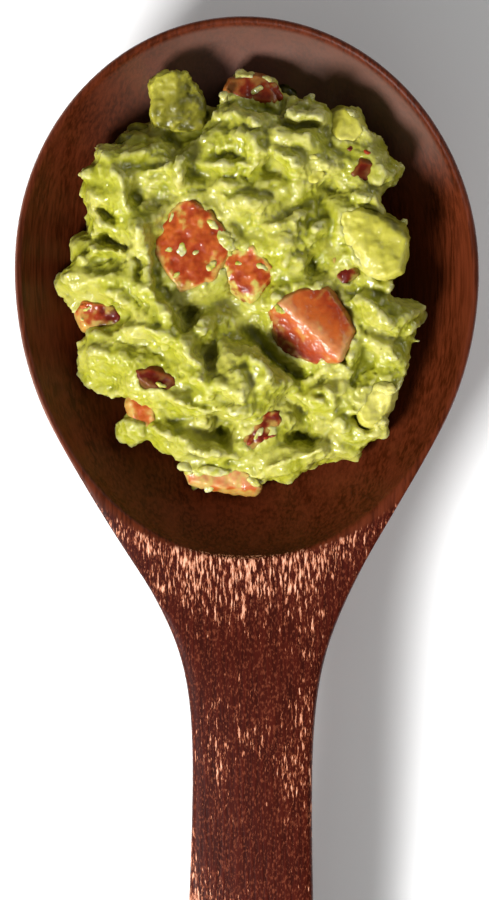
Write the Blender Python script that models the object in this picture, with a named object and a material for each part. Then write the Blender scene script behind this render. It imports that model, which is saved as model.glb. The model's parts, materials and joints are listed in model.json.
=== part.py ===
"""Guacamole heaped in the bowl of a carved wooden spoon.

Frame: +Z up, +Y towards the tip of the bowl, -Y along the handle, +X to the right.
The origin lies under the widest line of the bowl, on the surface that the spoon rests on.
Everything is in metres: a size in millimetres is written as a number times MM.
"""

import math

import bmesh
import bpy
from mathutils import Euler, Matrix, Vector

MM = 0.001

# ---- Colours (linear) and roughness ------------------------------------------------------
STAINED_WOOD = ((0.105, 0.020, 0.010), 0.45)
MASHED_AVOCADO = ((0.36, 0.35, 0.055), 0.35)
TOMATO = ((0.50, 0.15, 0.045), 0.30)
RED_ONION = ((0.22, 0.05, 0.03), 0.30)
AVOCADO = ((0.52, 0.48, 0.10), 0.35)

# ---- Spoon -------------------------------------------------------------------------------
# Each oval is an ellipse that reaches further towards the handle than towards the tip:
# (half its width, reach to the tip, reach to the handle), all from the origin.
BOWL_OVAL = (30.4 * MM, 33.2 * MM, 38.4 * MM)
CAVITY_OVAL = (29.3 * MM, 32.0 * MM, 37.5 * MM)
BOWL_SPOKES = 24
TIP_LEAN = -0.5 * MM          # the hand-carved tip leans a little to the left

RIM_Z = 19.0 * MM             # top of the rim above the table
CAVITY_DEPTH = 15.0 * MM
BOWL_POWER = 2.3              # 2 is an ellipsoid, more is a fuller bowl with a flatter floor
CAVITY_STEEPNESS = 0.75       # 0.5 meets the rim upright like an ellipsoid, 1 slopes up to it
HULL_SUNK = 0.6 * MM          # the round bottom passes this far below the table and is sanded flat

SHOULDER_SPOKES = 8           # how many of the bowl's spokes the handle grows out of
HANDLE_HALF_WIDTH = 7.45 * MM  # at the neck, its slimmest place
FLANK_SLOPE = 0.60            # the shoulder's straight flanks, width gained for each length
FLANK_END_Y = -50.4 * MM      # where the flanks would meet the handle's straight sides
FLANK_BLEND = 4.0 * MM        # length over which they ease into each other
TAIL_WIDENING = 0.036         # the handle widens again towards its end
TAIL_WIDENS_FROM_Y = -64.0 * MM
NECK_SHIFT = 0.85 * MM        # the hand-carved neck stands a little to the right
NECK_SHIFT_RISE = 5.0         # how fast the shift comes on behind the bowl
NECK_SHIFT_FADE = 1.2         # and how much of it is gone at the handle's end
HANDLE_END_Y = -156.0 * MM
CROWN = 0.07                  # the top's middle over its edges, beside the thickness
BELLY = 0.16                  # the same for the underside
UNDERSIDE_WIDTH = 0.80        # of the top's width
SIDE_POINTS = ((1.0, 0.24), (0.975, 0.56))  # (share of the half width, depth below the top)

BOWL_MIDDLE_Y = (BOWL_OVAL[1] - BOWL_OVAL[2]) / 2
GAP = 0.32 * MM               # between pieces that touch

# Shoulder and handle stations: (y at the sides, how far the middle runs ahead, top z, thickness)
STATIONS = [
    (-27.0 * MM, 14.0 * MM, 19.0 * MM, 7.4 * MM),
    (-33.5 * MM, 11.0 * MM, 19.0 * MM, 7.2 * MM),
    (-40.0 * MM, 7.5 * MM, 19.1 * MM, 7.1 * MM),
    (-46.5 * MM, 4.0 * MM, 19.3 * MM, 7.1 * MM),
    (-53.0 * MM, 1.5 * MM, 19.5 * MM, 7.2 * MM),
    (-63.0 * MM, 0.0 * MM, 19.4 * MM, 7.2 * MM),
    (-82.0 * MM, 0.0 * MM, 18.4 * MM, 7.2 * MM),
    (-104.0 * MM, 0.0 * MM, 15.6 * MM, 7.0 * MM),
    (-126.0 * MM, 0.0 * MM, 11.6 * MM, 6.8 * MM),
    (-142.0 * MM, 0.0 * MM, 8.3 * MM, 6.6 * MM),
    (-152.0 * MM, 1.2 * MM, 6.3 * MM, 6.5 * MM),
]
# The handle's rounded end, beside the last station.
END_AHEAD = 1.0 * MM
END_DROP = 1.0 * MM
END_THINNER = 2.0 * MM
END_WIDTH_SHARE = 0.62

# ---- Guacamole ---------------------------------------------------------------------------
# The masses that make the heap, in mm: (x, y and height over the rim of the centre, three radii),
# and the turn about Z in degrees.
HEAP_LUMPS = {
    "core": (-0.5, -2.0, -11.1, 21.0, 23.5, 8.8, 0),
    "upper_left": (-15.6, 11.3, -3.9, 6.6, 6.4, 5.8, 20),
    "upper_left_edge": (-18.4, 6.6, -5.7, 3.9, 5.2, 5.0, 0),
    "left_finger": (-20.4, 3.5, -5.9, 3.4, 1.4, 1.9, 4),
    "left": (-20.4, -1.8, -5.3, 4.4, 3.4, 4.4, 10),
    "left_inner": (-14.6, -1.6, -2.9, 5.2, 3.6, 5.0, 12),
    "lower_left": (-16.8, -10.0, -5.5, 5.6, 4.2, 5.2, 10),
    "lower_left_edge": (-18.2, -14.0, -7.3, 3.9, 2.6, 3.6, -8),
    "left_ridge": (-9.6, -7.6, -1.9, 6.2, 3.8, 5.2, -18),
    "lower_left_bump": (-16.0, -21.0, -7.7, 2.2, 1.9, 2.4, 30),
    "lower_ridge_start": (-11.4, -20.4, -5.9, 3.4, 3.0, 4.4, -30),
    "lower_ridge": (-5.4, -23.6, -5.9, 6.2, 3.0, 4.8, -20),
    "lower_ridge_middle": (4.6, -24.6, -6.1, 7.0, 2.9, 4.6, 6),
    "lower_right": (13.0, -22.8, -6.1, 5.2, 3.0, 4.8, 28),
    "right_lower": (16.6, -18.2, -5.3, 3.6, 4.6, 5.2, 14),
    "right": (18.2, -10.8, -4.5, 3.3, 5.6, 5.4, 4),
    "right_shoulder": (17.4, -5.0, -2.1, 4.8, 3.8, 5.2, -20),
    "right_edge": (21.6, -5.6, -5.3, 1.9, 1.8, 3.4, 0),
    "upper_right": (15.6, 11.4, -3.5, 4.9, 5.2, 5.4, 25),
    "upper_right_tip": (18.8, 12.6, -3.3, 2.4, 1.4, 2.2, 35),
    "upper_right_foot": (15.6, 5.2, -6.1, 5.0, 4.6, 5.0, 0),
    "top_right": (16.0, 16.0, -4.9, 3.2, 3.0, 3.8, 0),
    "top_right_foot": (12.0, 17.6, -6.7, 4.6, 4.2, 4.8, 0),
    "top": (2.2, 19.2, -3.5, 6.0, 4.4, 5.6, 0),
    "top_side": (8.0, 18.0, -2.7, 4.4, 4.2, 5.4, 30),
    "top_foot": (-4.0, 17.6, -6.3, 6.0, 4.6, 5.0, 0),
    "top_left": (-13.4, 17.4, -5.7, 3.4, 2.2, 3.2, 25),
    "ridge_far": (0.6, 15.2, 0.1, 8.6, 2.7, 3.9, -6),
    "ridge_far_right": (7.4, 12.8, 0.5, 5.6, 3.3, 4.0, 22),
    "ridge_left": (-6.2, 12.2, -0.7, 7.2, 2.8, 4.0, 6),
    "ridge_middle": (1.5, 8.6, -0.7, 8.0, 2.3, 3.8, 3),
    "centre": (4.8, 3.6, -1.1, 5.6, 3.8, 4.8, -10),
    "centre_right": (10.4, 6.4, -2.3, 4.2, 3.2, 4.4, 15),
    "centre_left": (-13.2, 5.0, -1.9, 3.9, 4.0, 4.4, 0),
    "beside_dice": (5.0, -1.8, -1.7, 4.2, 2.6, 4.4, 0),
    "middle_lump": (-0.3, -15.0, -0.9, 4.9, 5.0, 5.6, 30),
    "middle_left": (-6.6, -15.4, -1.7, 4.6, 3.6, 4.6, -30),
    "trough_wall": (10.6, -15.4, -3.1, 5.0, 2.9, 4.6, 5),
    "low_ridge_right": (12.8, -19.2, -3.5, 5.0, 2.4, 4.2, 20),
}
LUMP_SUBDIVISIONS = 3
HEAP_VOXEL = 1.25 * MM
HEAP_SMOOTHING = 2
HEAP_SHARE_KEPT = 0.27        # of the faces, once the lumps are melted and softened
MOULD_LIFT = 0.62 * MM        # how far the heap's underside stays above the cavity's floor
MOULD_SHARE = 0.985           # and how far it stays inside the cavity's wall
MOULD_TOP_Z = 40.0 * MM

# ---- Chunks that show in the heap --------------------------------------------------------
# In mm: (x, y and height over the rim of the centre, three sizes), then in degrees the tilts
# about X and Y and the turn about Z.
TOMATO_CHUNKS = {
    "tomato_dice": (8.4, -7.2, -0.5, 8.6, 7.6, 7.4, 8, -7, -22),
    "tomato_seeded": (-7.2, 3.2, -1.7, 8.4, 8.2, 5.6, 5, 4, 36),
    "tomato_pulp": (0.1, -0.6, -1.3, 4.8, 5.6, 4.6, 4, 8, 24),
    "tomato_top": (1.2, 23.6, -3.9, 7.6, 3.8, 4.6, 30, 0, -12),
    "tomato_left": (-19.6, -5.9, -5.0, 5.6, 2.9, 4.2, 12, -8, -12),
    "tomato_low_left": (-13.8, -17.4, -4.3, 2.9, 5.0, 3.8, 14, -12, 12),
    "tomato_bottom": (-3.0, -26.9, -5.2, 10.0, 3.3, 3.1, 18, 0, -8),
    "tomato_sliver": (2.2, -20.8, -2.9, 5.4, 1.7, 2.8, 10, -10, 42),
    "tomato_corner": (10.9, -0.2, -1.2, 2.5, 3.0, 3.0, 0, 0, 12),
}
ONION_CHUNKS = {
    "red_onion_right": (14.9, 12.2, 1.1, 2.5, 3.6, 2.6, -8, 6, -28),
    "red_onion_left": (-11.8, -14.0, -1.1, 5.0, 2.4, 2.6, 8, -10, -12),
}
AVOCADO_CHUNKS = {
    "avocado_right": (17.1, 2.9, -0.3, 7.6, 7.4, 6.2, 14, 10, -20),
    "avocado_low_right": (16.0, -17.2, -3.0, 6.2, 6.4, 5.6, -16, 10, -34),
    "avocado_top_right": (12.8, 19.4, -1.1, 4.9, 5.0, 5.0, -6, 8, -14),
    "avocado_top_left": (-8.6, 21.2, -2.6, 6.0, 6.2, 5.0, -20, 0, -6),
}
CHUNK_ROUNDING = 0.17         # bevel width beside the chunk's smallest side
CHUNK_ROUNDING_SEGMENTS = 2
CHUNK_ROUNDING_PROFILE = 0.6
CHUNK_SKEW = 0.08             # how far the corners stray, beside the chunk's size
SOCKET_REACH = 26.0 * MM      # a socket is open upwards for this far


# ---- Small helpers -----------------------------------------------------------------------
def clear_scene():
    for obj in list(bpy.data.objects):
        bpy.data.objects.remove(obj, do_unlink=True)


def add_object(name, mesh):
    obj = bpy.data.objects.new(name, mesh)
    bpy.context.collection.objects.link(obj)
    return obj


def material(name, colour, roughness):
    made = bpy.data.materials.new(name)
    made.use_nodes = True
    shader = made.node_tree.nodes["Principled BSDF"]
    shader.inputs["Base Color"].default_value = (*colour, 1.0)
    shader.inputs["Roughness"].default_value = roughness
    shader.inputs["Metallic"].default_value = 0.0
    return made


def subdivide(obj, levels):
    """A Catmull-Clark modifier that renders as it shows."""
    modifier = obj.modifiers.new("Rounded", "SUBSURF")
    modifier.levels = levels
    modifier.render_levels = levels


def cut_with(obj, cutter, operation):
    """An exact Boolean, with the cutter kept as a hidden guide."""
    modifier = obj.modifiers.new(cutter.name, "BOOLEAN")
    modifier.operation = operation
    modifier.object = cutter
    modifier.solver = "EXACT"
    cutter.hide_render = True
    cutter.display_type = "WIRE"


def smooth_shading(obj, sharp_degrees=40.0):
    obj.data.shade_smooth()
    obj.data.set_sharp_from_angle(angle=math.radians(sharp_degrees))


# ---- Spoon -------------------------------------------------------------------------------
def cage_growth():
    """A subdivided ring shrinks inside its cage by this factor, so the cage is made larger."""
    return 3.0 / (2.0 + math.cos(math.tau / BOWL_SPOKES))


def spoke_angle(spoke):
    """Spokes start in the middle of the handle side and run round anticlockwise."""
    return -math.pi / 2 + math.tau * spoke / BOWL_SPOKES


def oval_point(oval, spoke, share, z):
    """A point of one of the bowl's ovals, drawn in to this share of the oval's size."""
    half_width, tip_reach, neck_reach = oval
    angle = spoke_angle(spoke)
    reach = tip_reach if math.sin(angle) > 0 else neck_reach
    grown = share * cage_growth()
    x = grown * half_width * math.cos(angle)
    y = BOWL_MIDDLE_Y + grown * (reach * math.sin(angle) - BOWL_MIDDLE_Y)
    lean = TIP_LEAN * max(0.0, y / tip_reach)
    return Vector((x + lean, y, z))


def cavity_z(share):
    """Height of the cavity's surface at this share of its mouth."""
    return RIM_Z - CAVITY_DEPTH * max(0.0, 1.0 - share**BOWL_POWER) ** CAVITY_STEEPNESS


def hull_z(share):
    """Height of the bowl's outside at this share of the outer oval."""
    return RIM_Z - (RIM_Z + HULL_SUNK) * math.sqrt(max(0.0, 1.0 - share**BOWL_POWER))


def cavity_rings():
    """(oval, share, z) of the cavity's rings, from its floor up to just under the rim."""
    shares = (0.26, 0.50, 0.70, 0.86, 0.955)
    return [(CAVITY_OVAL, share, cavity_z(share)) for share in shares]


def rim_rings():
    """The rim's inner and outer edge, each with a ring close beside it to keep the edge tight."""
    return [
        (CAVITY_OVAL, 0.990, RIM_Z - 1.0 * MM),
        (CAVITY_OVAL, 1.004, RIM_Z),
        (BOWL_OVAL, 0.996, RIM_Z),
        (BOWL_OVAL, 1.0, RIM_Z - 1.3 * MM),
    ]


def hull_rings():
    """(oval, share, z) of the outside's rings, from under the rim to the bottom."""
    shares = (0.985, 0.92, 0.78, 0.56, 0.26)
    return [(BOWL_OVAL, share, hull_z(share)) for share in shares]


def add_ring(mesh, oval, share, z):
    return [mesh.verts.new(oval_point(oval, spoke, share, z)) for spoke in range(BOWL_SPOKES)]


def join_rings(mesh, inner, outer, skip=()):
    """Faces between two rings of the same number of points, left out at the spokes in skip."""
    count = len(inner)
    for index in range(count):
        if index not in skip:
            after = (index + 1) % count
            mesh.faces.new((inner[index], outer[index], outer[after], inner[after]))


def close_with_pole(mesh, ring, z):
    """A fan of faces from a ring to one point in its middle."""
    pole = mesh.verts.new((0.0, BOWL_MIDDLE_Y, z))
    for index, point in enumerate(ring):
        mesh.faces.new((point, ring[(index + 1) % len(ring)], pole))


def handle_half_width(y):
    """Half the width of the shoulder and handle: straight flanks that ease into a slim neck."""
    flank = FLANK_SLOPE * FLANK_BLEND * math.log1p(math.exp((y - FLANK_END_Y) / FLANK_BLEND))
    tail = TAIL_WIDENING * max(0.0, TAIL_WIDENS_FROM_Y - y)
    return HANDLE_HALF_WIDTH + flank + tail


def handle_middle_x(y):
    """The neck's small shift to the right, which fades at the bowl and at the end."""
    along = (FLANK_END_Y - y) / (FLANK_END_Y - HANDLE_END_Y)
    rise = max(0.0, min(1.0, 1.0 + NECK_SHIFT_RISE * along))
    return NECK_SHIFT * rise * (1.0 - NECK_SHIFT_FADE * max(0.0, along))


def station_ring(station, width_share=1.0):
    """The points round one cross-section of the handle, in the order of the bowl's opening:
    along the top from left to right, down the right side, back along the bottom, up the left."""
    side_y, ahead, top_z, thickness = station
    half = handle_half_width(side_y) * width_share
    middle_x = handle_middle_x(side_y)
    span = SHOULDER_SPOKES // 2
    edge_angle = math.tau * span / BOWL_SPOKES
    across = [math.sin(edge_angle * j / span) / math.sin(edge_angle) for j in range(-span, span + 1)]

    def point(share, side_share, drop):
        bow = ahead * math.sqrt(max(0.0, 1.0 - share * share))
        return Vector((middle_x + half * share * side_share, side_y - bow, top_z - drop))

    top = [point(u, 1.0, CROWN * thickness * u * u) for u in across]
    bottom = [point(u, UNDERSIDE_WIDTH, thickness * (1.0 - BELLY * u * u)) for u in across]
    right = [point(1.0, share, drop * thickness) for share, drop in SIDE_POINTS]
    left = [point(-1.0, share, drop * thickness) for share, drop in SIDE_POINTS]
    return top, right, bottom, left


def spoon_cage():
    """The spoon's coarse quad cage: bowl rings, then the handle drawn out of the bowl's near side."""
    mesh = bmesh.new()
    span = SHOULDER_SPOKES // 2
    opening = [spoke % BOWL_SPOKES for spoke in range(-span, span)]
    rings = [add_ring(mesh, *ring) for ring in cavity_rings() + rim_rings() + hull_rings()]
    outer_edge = len(cavity_rings()) + 2
    opening_bands = range(outer_edge, outer_edge + 3)
    for band in range(len(rings) - 1):
        join_rings(mesh, rings[band], rings[band + 1], opening if band in opening_bands else ())
    close_with_pole(mesh, rings[0], RIM_Z - CAVITY_DEPTH)
    close_with_pole(mesh, list(reversed(rings[-1])), -HULL_SUNK)

    columns = [spoke % BOWL_SPOKES for spoke in range(-span, span + 1)]
    first, last = rings[outer_edge], rings[outer_edge + 3]
    between = [rings[outer_edge + 1], rings[outer_edge + 2]]
    loop = [first[c] for c in columns]
    loop += [ring[columns[-1]] for ring in between]
    loop += [last[c] for c in reversed(columns)]
    loop += [ring[columns[0]] for ring in reversed(between)]

    for station in STATIONS:
        loop = draw_out(mesh, loop, station_ring(station))
    end = (HANDLE_END_Y, END_AHEAD, STATIONS[-1][2] - END_DROP, STATIONS[-1][3] - END_THINNER)
    top, right, bottom, left = station_ring(end, END_WIDTH_SHARE)
    loop = draw_out(mesh, loop, (top, right, bottom, left))
    cap_end(mesh, loop, len(top), len(right))
    bmesh.ops.recalc_face_normals(mesh, faces=mesh.faces)
    return mesh


def draw_out(mesh, loop, sections):
    """One extrusion of the handle: a new loop of points, joined to the last one."""
    top, right, bottom, left = sections
    places = top + right + list(reversed(bottom)) + list(reversed(left))
    drawn = [mesh.verts.new(place) for place in places]
    join_rings(mesh, drawn, loop)
    return drawn


def cap_end(mesh, loop, top_count, side_count):
    """Closes the handle's end with a grid of quads between its top and its bottom row."""
    top = loop[:top_count]
    right = loop[top_count:top_count + side_count]
    bottom = list(reversed(loop[top_count + side_count:2 * top_count + side_count]))
    left = list(reversed(loop[2 * top_count + side_count:]))
    rows = [top]
    for step in range(side_count):
        row = [left[step]]
        for column in range(1, top_count - 1):
            share = (step + 1) / (side_count + 1)
            row.append(mesh.verts.new(top[column].co.lerp(bottom[column].co, share)))
        rows.append(row + [right[step]])
    rows.append(bottom)
    for upper, lower in zip(rows, rows[1:]):
        for column in range(top_count - 1):
            mesh.faces.new((upper[column], upper[column + 1], lower[column + 1], lower[column]))


def rounded_mesh(cage, name, levels):
    """The cage as a mesh, subdivided and with the subdivision applied."""
    mesh = bpy.data.meshes.new(name)
    cage.to_mesh(mesh)
    cage.free()
    obj = add_object(name, mesh)
    subdivide(obj, levels)
    bpy.context.view_layer.update()
    graph = bpy.context.evaluated_depsgraph_get()
    applied = bpy.data.meshes.new_from_object(obj.evaluated_get(graph))
    obj.modifiers.clear()
    obj.data = applied
    return obj


def build_spoon():
    spoon = rounded_mesh(spoon_cage(), "wooden_spoon", 1)
    for vertex in spoon.data.vertices:
        vertex.co.z = max(vertex.co.z, 0.0)
    smooth_shading(spoon)
    spoon.data.materials.append(material("Stained wood", *STAINED_WOOD))
    return spoon


# ---- Guacamole ---------------------------------------------------------------------------
def cavity_mould():
    """A plug of the cavity's shape, lifted a little off it, which trims the heap's underside."""
    cage = bmesh.new()
    rings = []
    for oval, share, z in cavity_rings():
        rings.append(add_ring(cage, oval, share * MOULD_SHARE, z + MOULD_LIFT))
    rings.append(add_ring(cage, CAVITY_OVAL, MOULD_SHARE, RIM_Z))
    rings.append(add_ring(cage, CAVITY_OVAL, MOULD_SHARE, MOULD_TOP_Z))
    for lower, upper in zip(rings, rings[1:]):
        join_rings(cage, lower, upper)
    close_with_pole(cage, rings[0], RIM_Z - CAVITY_DEPTH + MOULD_LIFT)
    close_with_pole(cage, list(reversed(rings[-1])), MOULD_TOP_Z)
    bmesh.ops.recalc_face_normals(cage, faces=cage.faces)
    return rounded_mesh(cage, "cavity_mould", 1)


def add_lump(mesh, x, y, z, radius_x, radius_y, radius_z, turn):
    """One rounded mass of the heap, from its place and radii in millimetres."""
    place = Matrix.Translation(Vector((x * MM, y * MM, RIM_Z + z * MM)))
    turned = Matrix.Rotation(math.radians(turn), 4, "Z")
    size = Matrix.Diagonal((radius_x * MM, radius_y * MM, radius_z * MM, 1.0))
    ball = place @ turned @ size
    bmesh.ops.create_icosphere(mesh, subdivisions=LUMP_SUBDIVISIONS, radius=1.0, matrix=ball)


def build_heap(mould, sockets):
    """Lumps melted into one mass, trimmed to the cavity, with a socket for each chunk."""
    lumps = bmesh.new()
    for lump in HEAP_LUMPS.values():
        add_lump(lumps, *lump)
    mesh = bpy.data.meshes.new("guacamole")
    lumps.to_mesh(mesh)
    lumps.free()
    heap = add_object("guacamole", mesh)
    melt = heap.modifiers.new("Melted together", "REMESH")
    melt.mode = "VOXEL"
    melt.voxel_size = HEAP_VOXEL
    soften = heap.modifiers.new("Softened", "SMOOTH")
    soften.factor = 0.5
    soften.iterations = HEAP_SMOOTHING
    thin = heap.modifiers.new("Thinned out", "DECIMATE")
    thin.ratio = HEAP_SHARE_KEPT
    cut_with(heap, mould, "INTERSECT")
    for socket in sockets:
        cut_with(heap, socket, "DIFFERENCE")
    heap.data.materials.append(material("Mashed avocado", *MASHED_AVOCADO))
    return heap


# ---- Chunks ------------------------------------------------------------------------------
def chunk_matrix(x, y, z, tilt_x, tilt_y, turn):
    angles = Euler([math.radians(a) for a in (tilt_x, tilt_y, turn)])
    return Matrix.Translation(Vector((x * MM, y * MM, RIM_Z + z * MM))) @ angles.to_matrix().to_4x4()


def skewed_box(mesh, sizes, name, margin=0.0):
    """A box whose corners stray a little, as knife cuts do, and whose sides are moved out by the margin.
    The straying comes from the letters of the name, so each chunk has its own."""
    seed = sum(ord(letter) for letter in name)
    made = bmesh.ops.create_cube(mesh, size=1.0)["verts"]
    for index, vertex in enumerate(made):
        for axis, size in enumerate(sizes):
            stray = CHUNK_SKEW * size * math.sin(seed * (index + 1) * (axis + 2))
            reach = size / 2 + stray / 2 + margin
            vertex.co[axis] = math.copysign(reach, vertex.co[axis])
    return made


def build_chunk(name, row, finish):
    """One diced piece with rounded edges."""
    x, y, z, *rest = row
    sizes, angles = [size * MM for size in rest[:3]], rest[3:]
    cage = bmesh.new()
    skewed_box(cage, sizes, name)
    width = CHUNK_ROUNDING * min(sizes)
    bmesh.ops.bevel(cage, geom=cage.edges[:], offset=width, segments=CHUNK_ROUNDING_SEGMENTS,
                    profile=CHUNK_ROUNDING_PROFILE, affect="EDGES")
    mesh = bpy.data.meshes.new(name)
    cage.to_mesh(mesh)
    cage.free()
    chunk = add_object(name, mesh)
    chunk.matrix_world = chunk_matrix(x, y, z, *angles)
    chunk.data.materials.append(finish)
    smooth_shading(chunk)
    return chunk


def build_socket(name, row):
    """The room that a chunk needs in the heap: its own shape with a gap all round, open upwards."""
    x, y, z, *rest = row
    sizes, angles = [size * MM for size in rest[:3]], rest[3:]
    box = bmesh.new()
    skewed_box(box, sizes, name, GAP)
    place = chunk_matrix(x, y, z, *angles)
    corners = [place @ vertex.co for vertex in box.verts]
    box.free()
    cage = bmesh.new()
    for corner in corners:
        cage.verts.new(corner)
        cage.verts.new(corner + Vector((0.0, 0.0, SOCKET_REACH)))
    hull = bmesh.ops.convex_hull(cage, input=cage.verts[:])
    bmesh.ops.delete(cage, geom=hull["geom_interior"], context="VERTS")
    bmesh.ops.recalc_face_normals(cage, faces=cage.faces)
    mesh = bpy.data.meshes.new(name + "_socket")
    cage.to_mesh(mesh)
    cage.free()
    return add_object(name + "_socket", mesh)


def main():
    clear_scene()
    build_spoon()
    finishes = (
        (TOMATO_CHUNKS, material("Tomato", *TOMATO)),
        (ONION_CHUNKS, material("Red onion", *RED_ONION)),
        (AVOCADO_CHUNKS, material("Avocado", *AVOCADO)),
    )
    sockets = []
    for rows, finish in finishes:
        for name, row in rows.items():
            build_chunk(name, row, finish)
            sockets.append(build_socket(name, row))
    build_heap(cavity_mould(), sockets)


main()
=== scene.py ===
"""Guacamole heaped in the bowl of a carved wooden spoon: the finish of every piece.

The frame is the CAD model's: +Z up, +Y towards the bowl's tip, -Y along the handle. Everything
is in metres, and a size in millimetres is written as a number times MM.
"""

import json
import math
import random

import bmesh
import bpy
import numpy as np
from mathutils import Matrix, Vector
from mathutils.bvhtree import BVHTree

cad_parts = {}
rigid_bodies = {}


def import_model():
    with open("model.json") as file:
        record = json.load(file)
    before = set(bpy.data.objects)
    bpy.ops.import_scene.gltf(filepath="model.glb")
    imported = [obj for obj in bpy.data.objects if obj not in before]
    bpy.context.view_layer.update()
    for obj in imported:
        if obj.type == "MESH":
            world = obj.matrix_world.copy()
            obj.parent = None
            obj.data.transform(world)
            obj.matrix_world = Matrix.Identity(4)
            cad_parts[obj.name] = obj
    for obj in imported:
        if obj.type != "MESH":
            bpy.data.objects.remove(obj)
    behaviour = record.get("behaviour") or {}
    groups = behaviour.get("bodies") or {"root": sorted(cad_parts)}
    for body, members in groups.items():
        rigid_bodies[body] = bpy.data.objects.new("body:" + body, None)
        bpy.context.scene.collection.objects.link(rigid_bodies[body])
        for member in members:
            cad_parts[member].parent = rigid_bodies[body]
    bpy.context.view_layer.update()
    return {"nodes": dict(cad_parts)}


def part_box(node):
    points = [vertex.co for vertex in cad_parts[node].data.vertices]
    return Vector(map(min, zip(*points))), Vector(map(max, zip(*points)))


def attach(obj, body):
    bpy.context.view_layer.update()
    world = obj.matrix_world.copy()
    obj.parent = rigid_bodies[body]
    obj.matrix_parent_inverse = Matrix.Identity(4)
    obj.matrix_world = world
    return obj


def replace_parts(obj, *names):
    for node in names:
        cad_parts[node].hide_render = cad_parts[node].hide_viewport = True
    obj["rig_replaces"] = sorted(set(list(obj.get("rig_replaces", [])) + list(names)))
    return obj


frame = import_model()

MM = 0.001
NODES = frame["nodes"]
TOMATOES = sorted(name for name in NODES if name.startswith("tomato"))
ONIONS = sorted(name for name in NODES if name.startswith("red_onion"))
AVOCADOS = sorted(name for name in NODES if name.startswith("avocado"))
CHUNKS = TOMATOES + ONIONS + AVOCADOS

RIM_Z = 19.0 * MM             # top of the bowl's rim
RESTING_GAP = 0.12 * MM       # between the mash and the wood under it


# ---- Small helpers -----------------------------------------------------------------------
def deselect_all():
    bpy.ops.object.select_all(action="DESELECT")


def pick(obj):
    """Makes this the one selected and active object."""
    deselect_all()
    obj.select_set(True)
    bpy.context.view_layer.objects.active = obj


def apply_modifier(obj, kind, **settings):
    modifier = obj.modifiers.new(kind.title(), kind)
    for name, value in settings.items():
        setattr(modifier, name, value)
    pick(obj)
    bpy.ops.object.modifier_apply(modifier=modifier.name)


def copy_of(name, new_name):
    """A CAD node's mesh as a new object, with its loose triangles merged."""
    obj = bpy.data.objects.new(new_name, NODES[name].data.copy())
    bpy.context.scene.collection.objects.link(obj)
    obj.data.materials.clear()
    pick(obj)
    bpy.ops.object.mode_set(mode="EDIT")
    bpy.ops.mesh.select_all(action="SELECT")
    bpy.ops.mesh.remove_doubles(threshold=0.002 * MM)
    bpy.ops.object.mode_set(mode="OBJECT")
    return obj


def points_of(obj):
    mesh = obj.data
    found = np.empty(len(mesh.vertices) * 3)
    mesh.vertices.foreach_get("co", found)
    return found.reshape(-1, 3)


def normals_of(obj):
    mesh = obj.data
    found = np.empty(len(mesh.vertices) * 3)
    mesh.vertex_normals.foreach_get("vector", found)
    return found.reshape(-1, 3)


def move_points(obj, points):
    obj.data.vertices.foreach_set("co", points.ravel())
    obj.data.update()


def store(obj, name, values):
    """Keeps one number for each point, for the materials to read."""
    attribute = obj.data.attributes.new(name, "FLOAT", "POINT")
    attribute.data.foreach_set("value", np.asarray(values, dtype=np.float32))


def smooth_step(low, high, value):
    share = np.clip((value - low) / (high - low), 0.0, 1.0)
    return share * share * (3.0 - 2.0 * share)


def relaxed(obj, points, rounds):
    """The points after so many rounds of moving each to the middle of its neighbours."""
    mesh = obj.data
    edges = np.empty(len(mesh.edges) * 2, dtype=np.int64)
    mesh.edges.foreach_get("vertices", edges)
    first, second = edges[0::2], edges[1::2]
    count = np.bincount(edges, minlength=len(points)).clip(1)[:, None]
    for _ in range(rounds):
        total = np.empty_like(points)
        for axis in range(3):
            total[:, axis] = (np.bincount(first, points[second, axis], len(points))
                              + np.bincount(second, points[first, axis], len(points)))
        points = 0.5 * points + 0.5 * total / count
    return points


def finish_piece(obj, nodes):
    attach(obj, "root")
    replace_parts(obj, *nodes)


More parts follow.
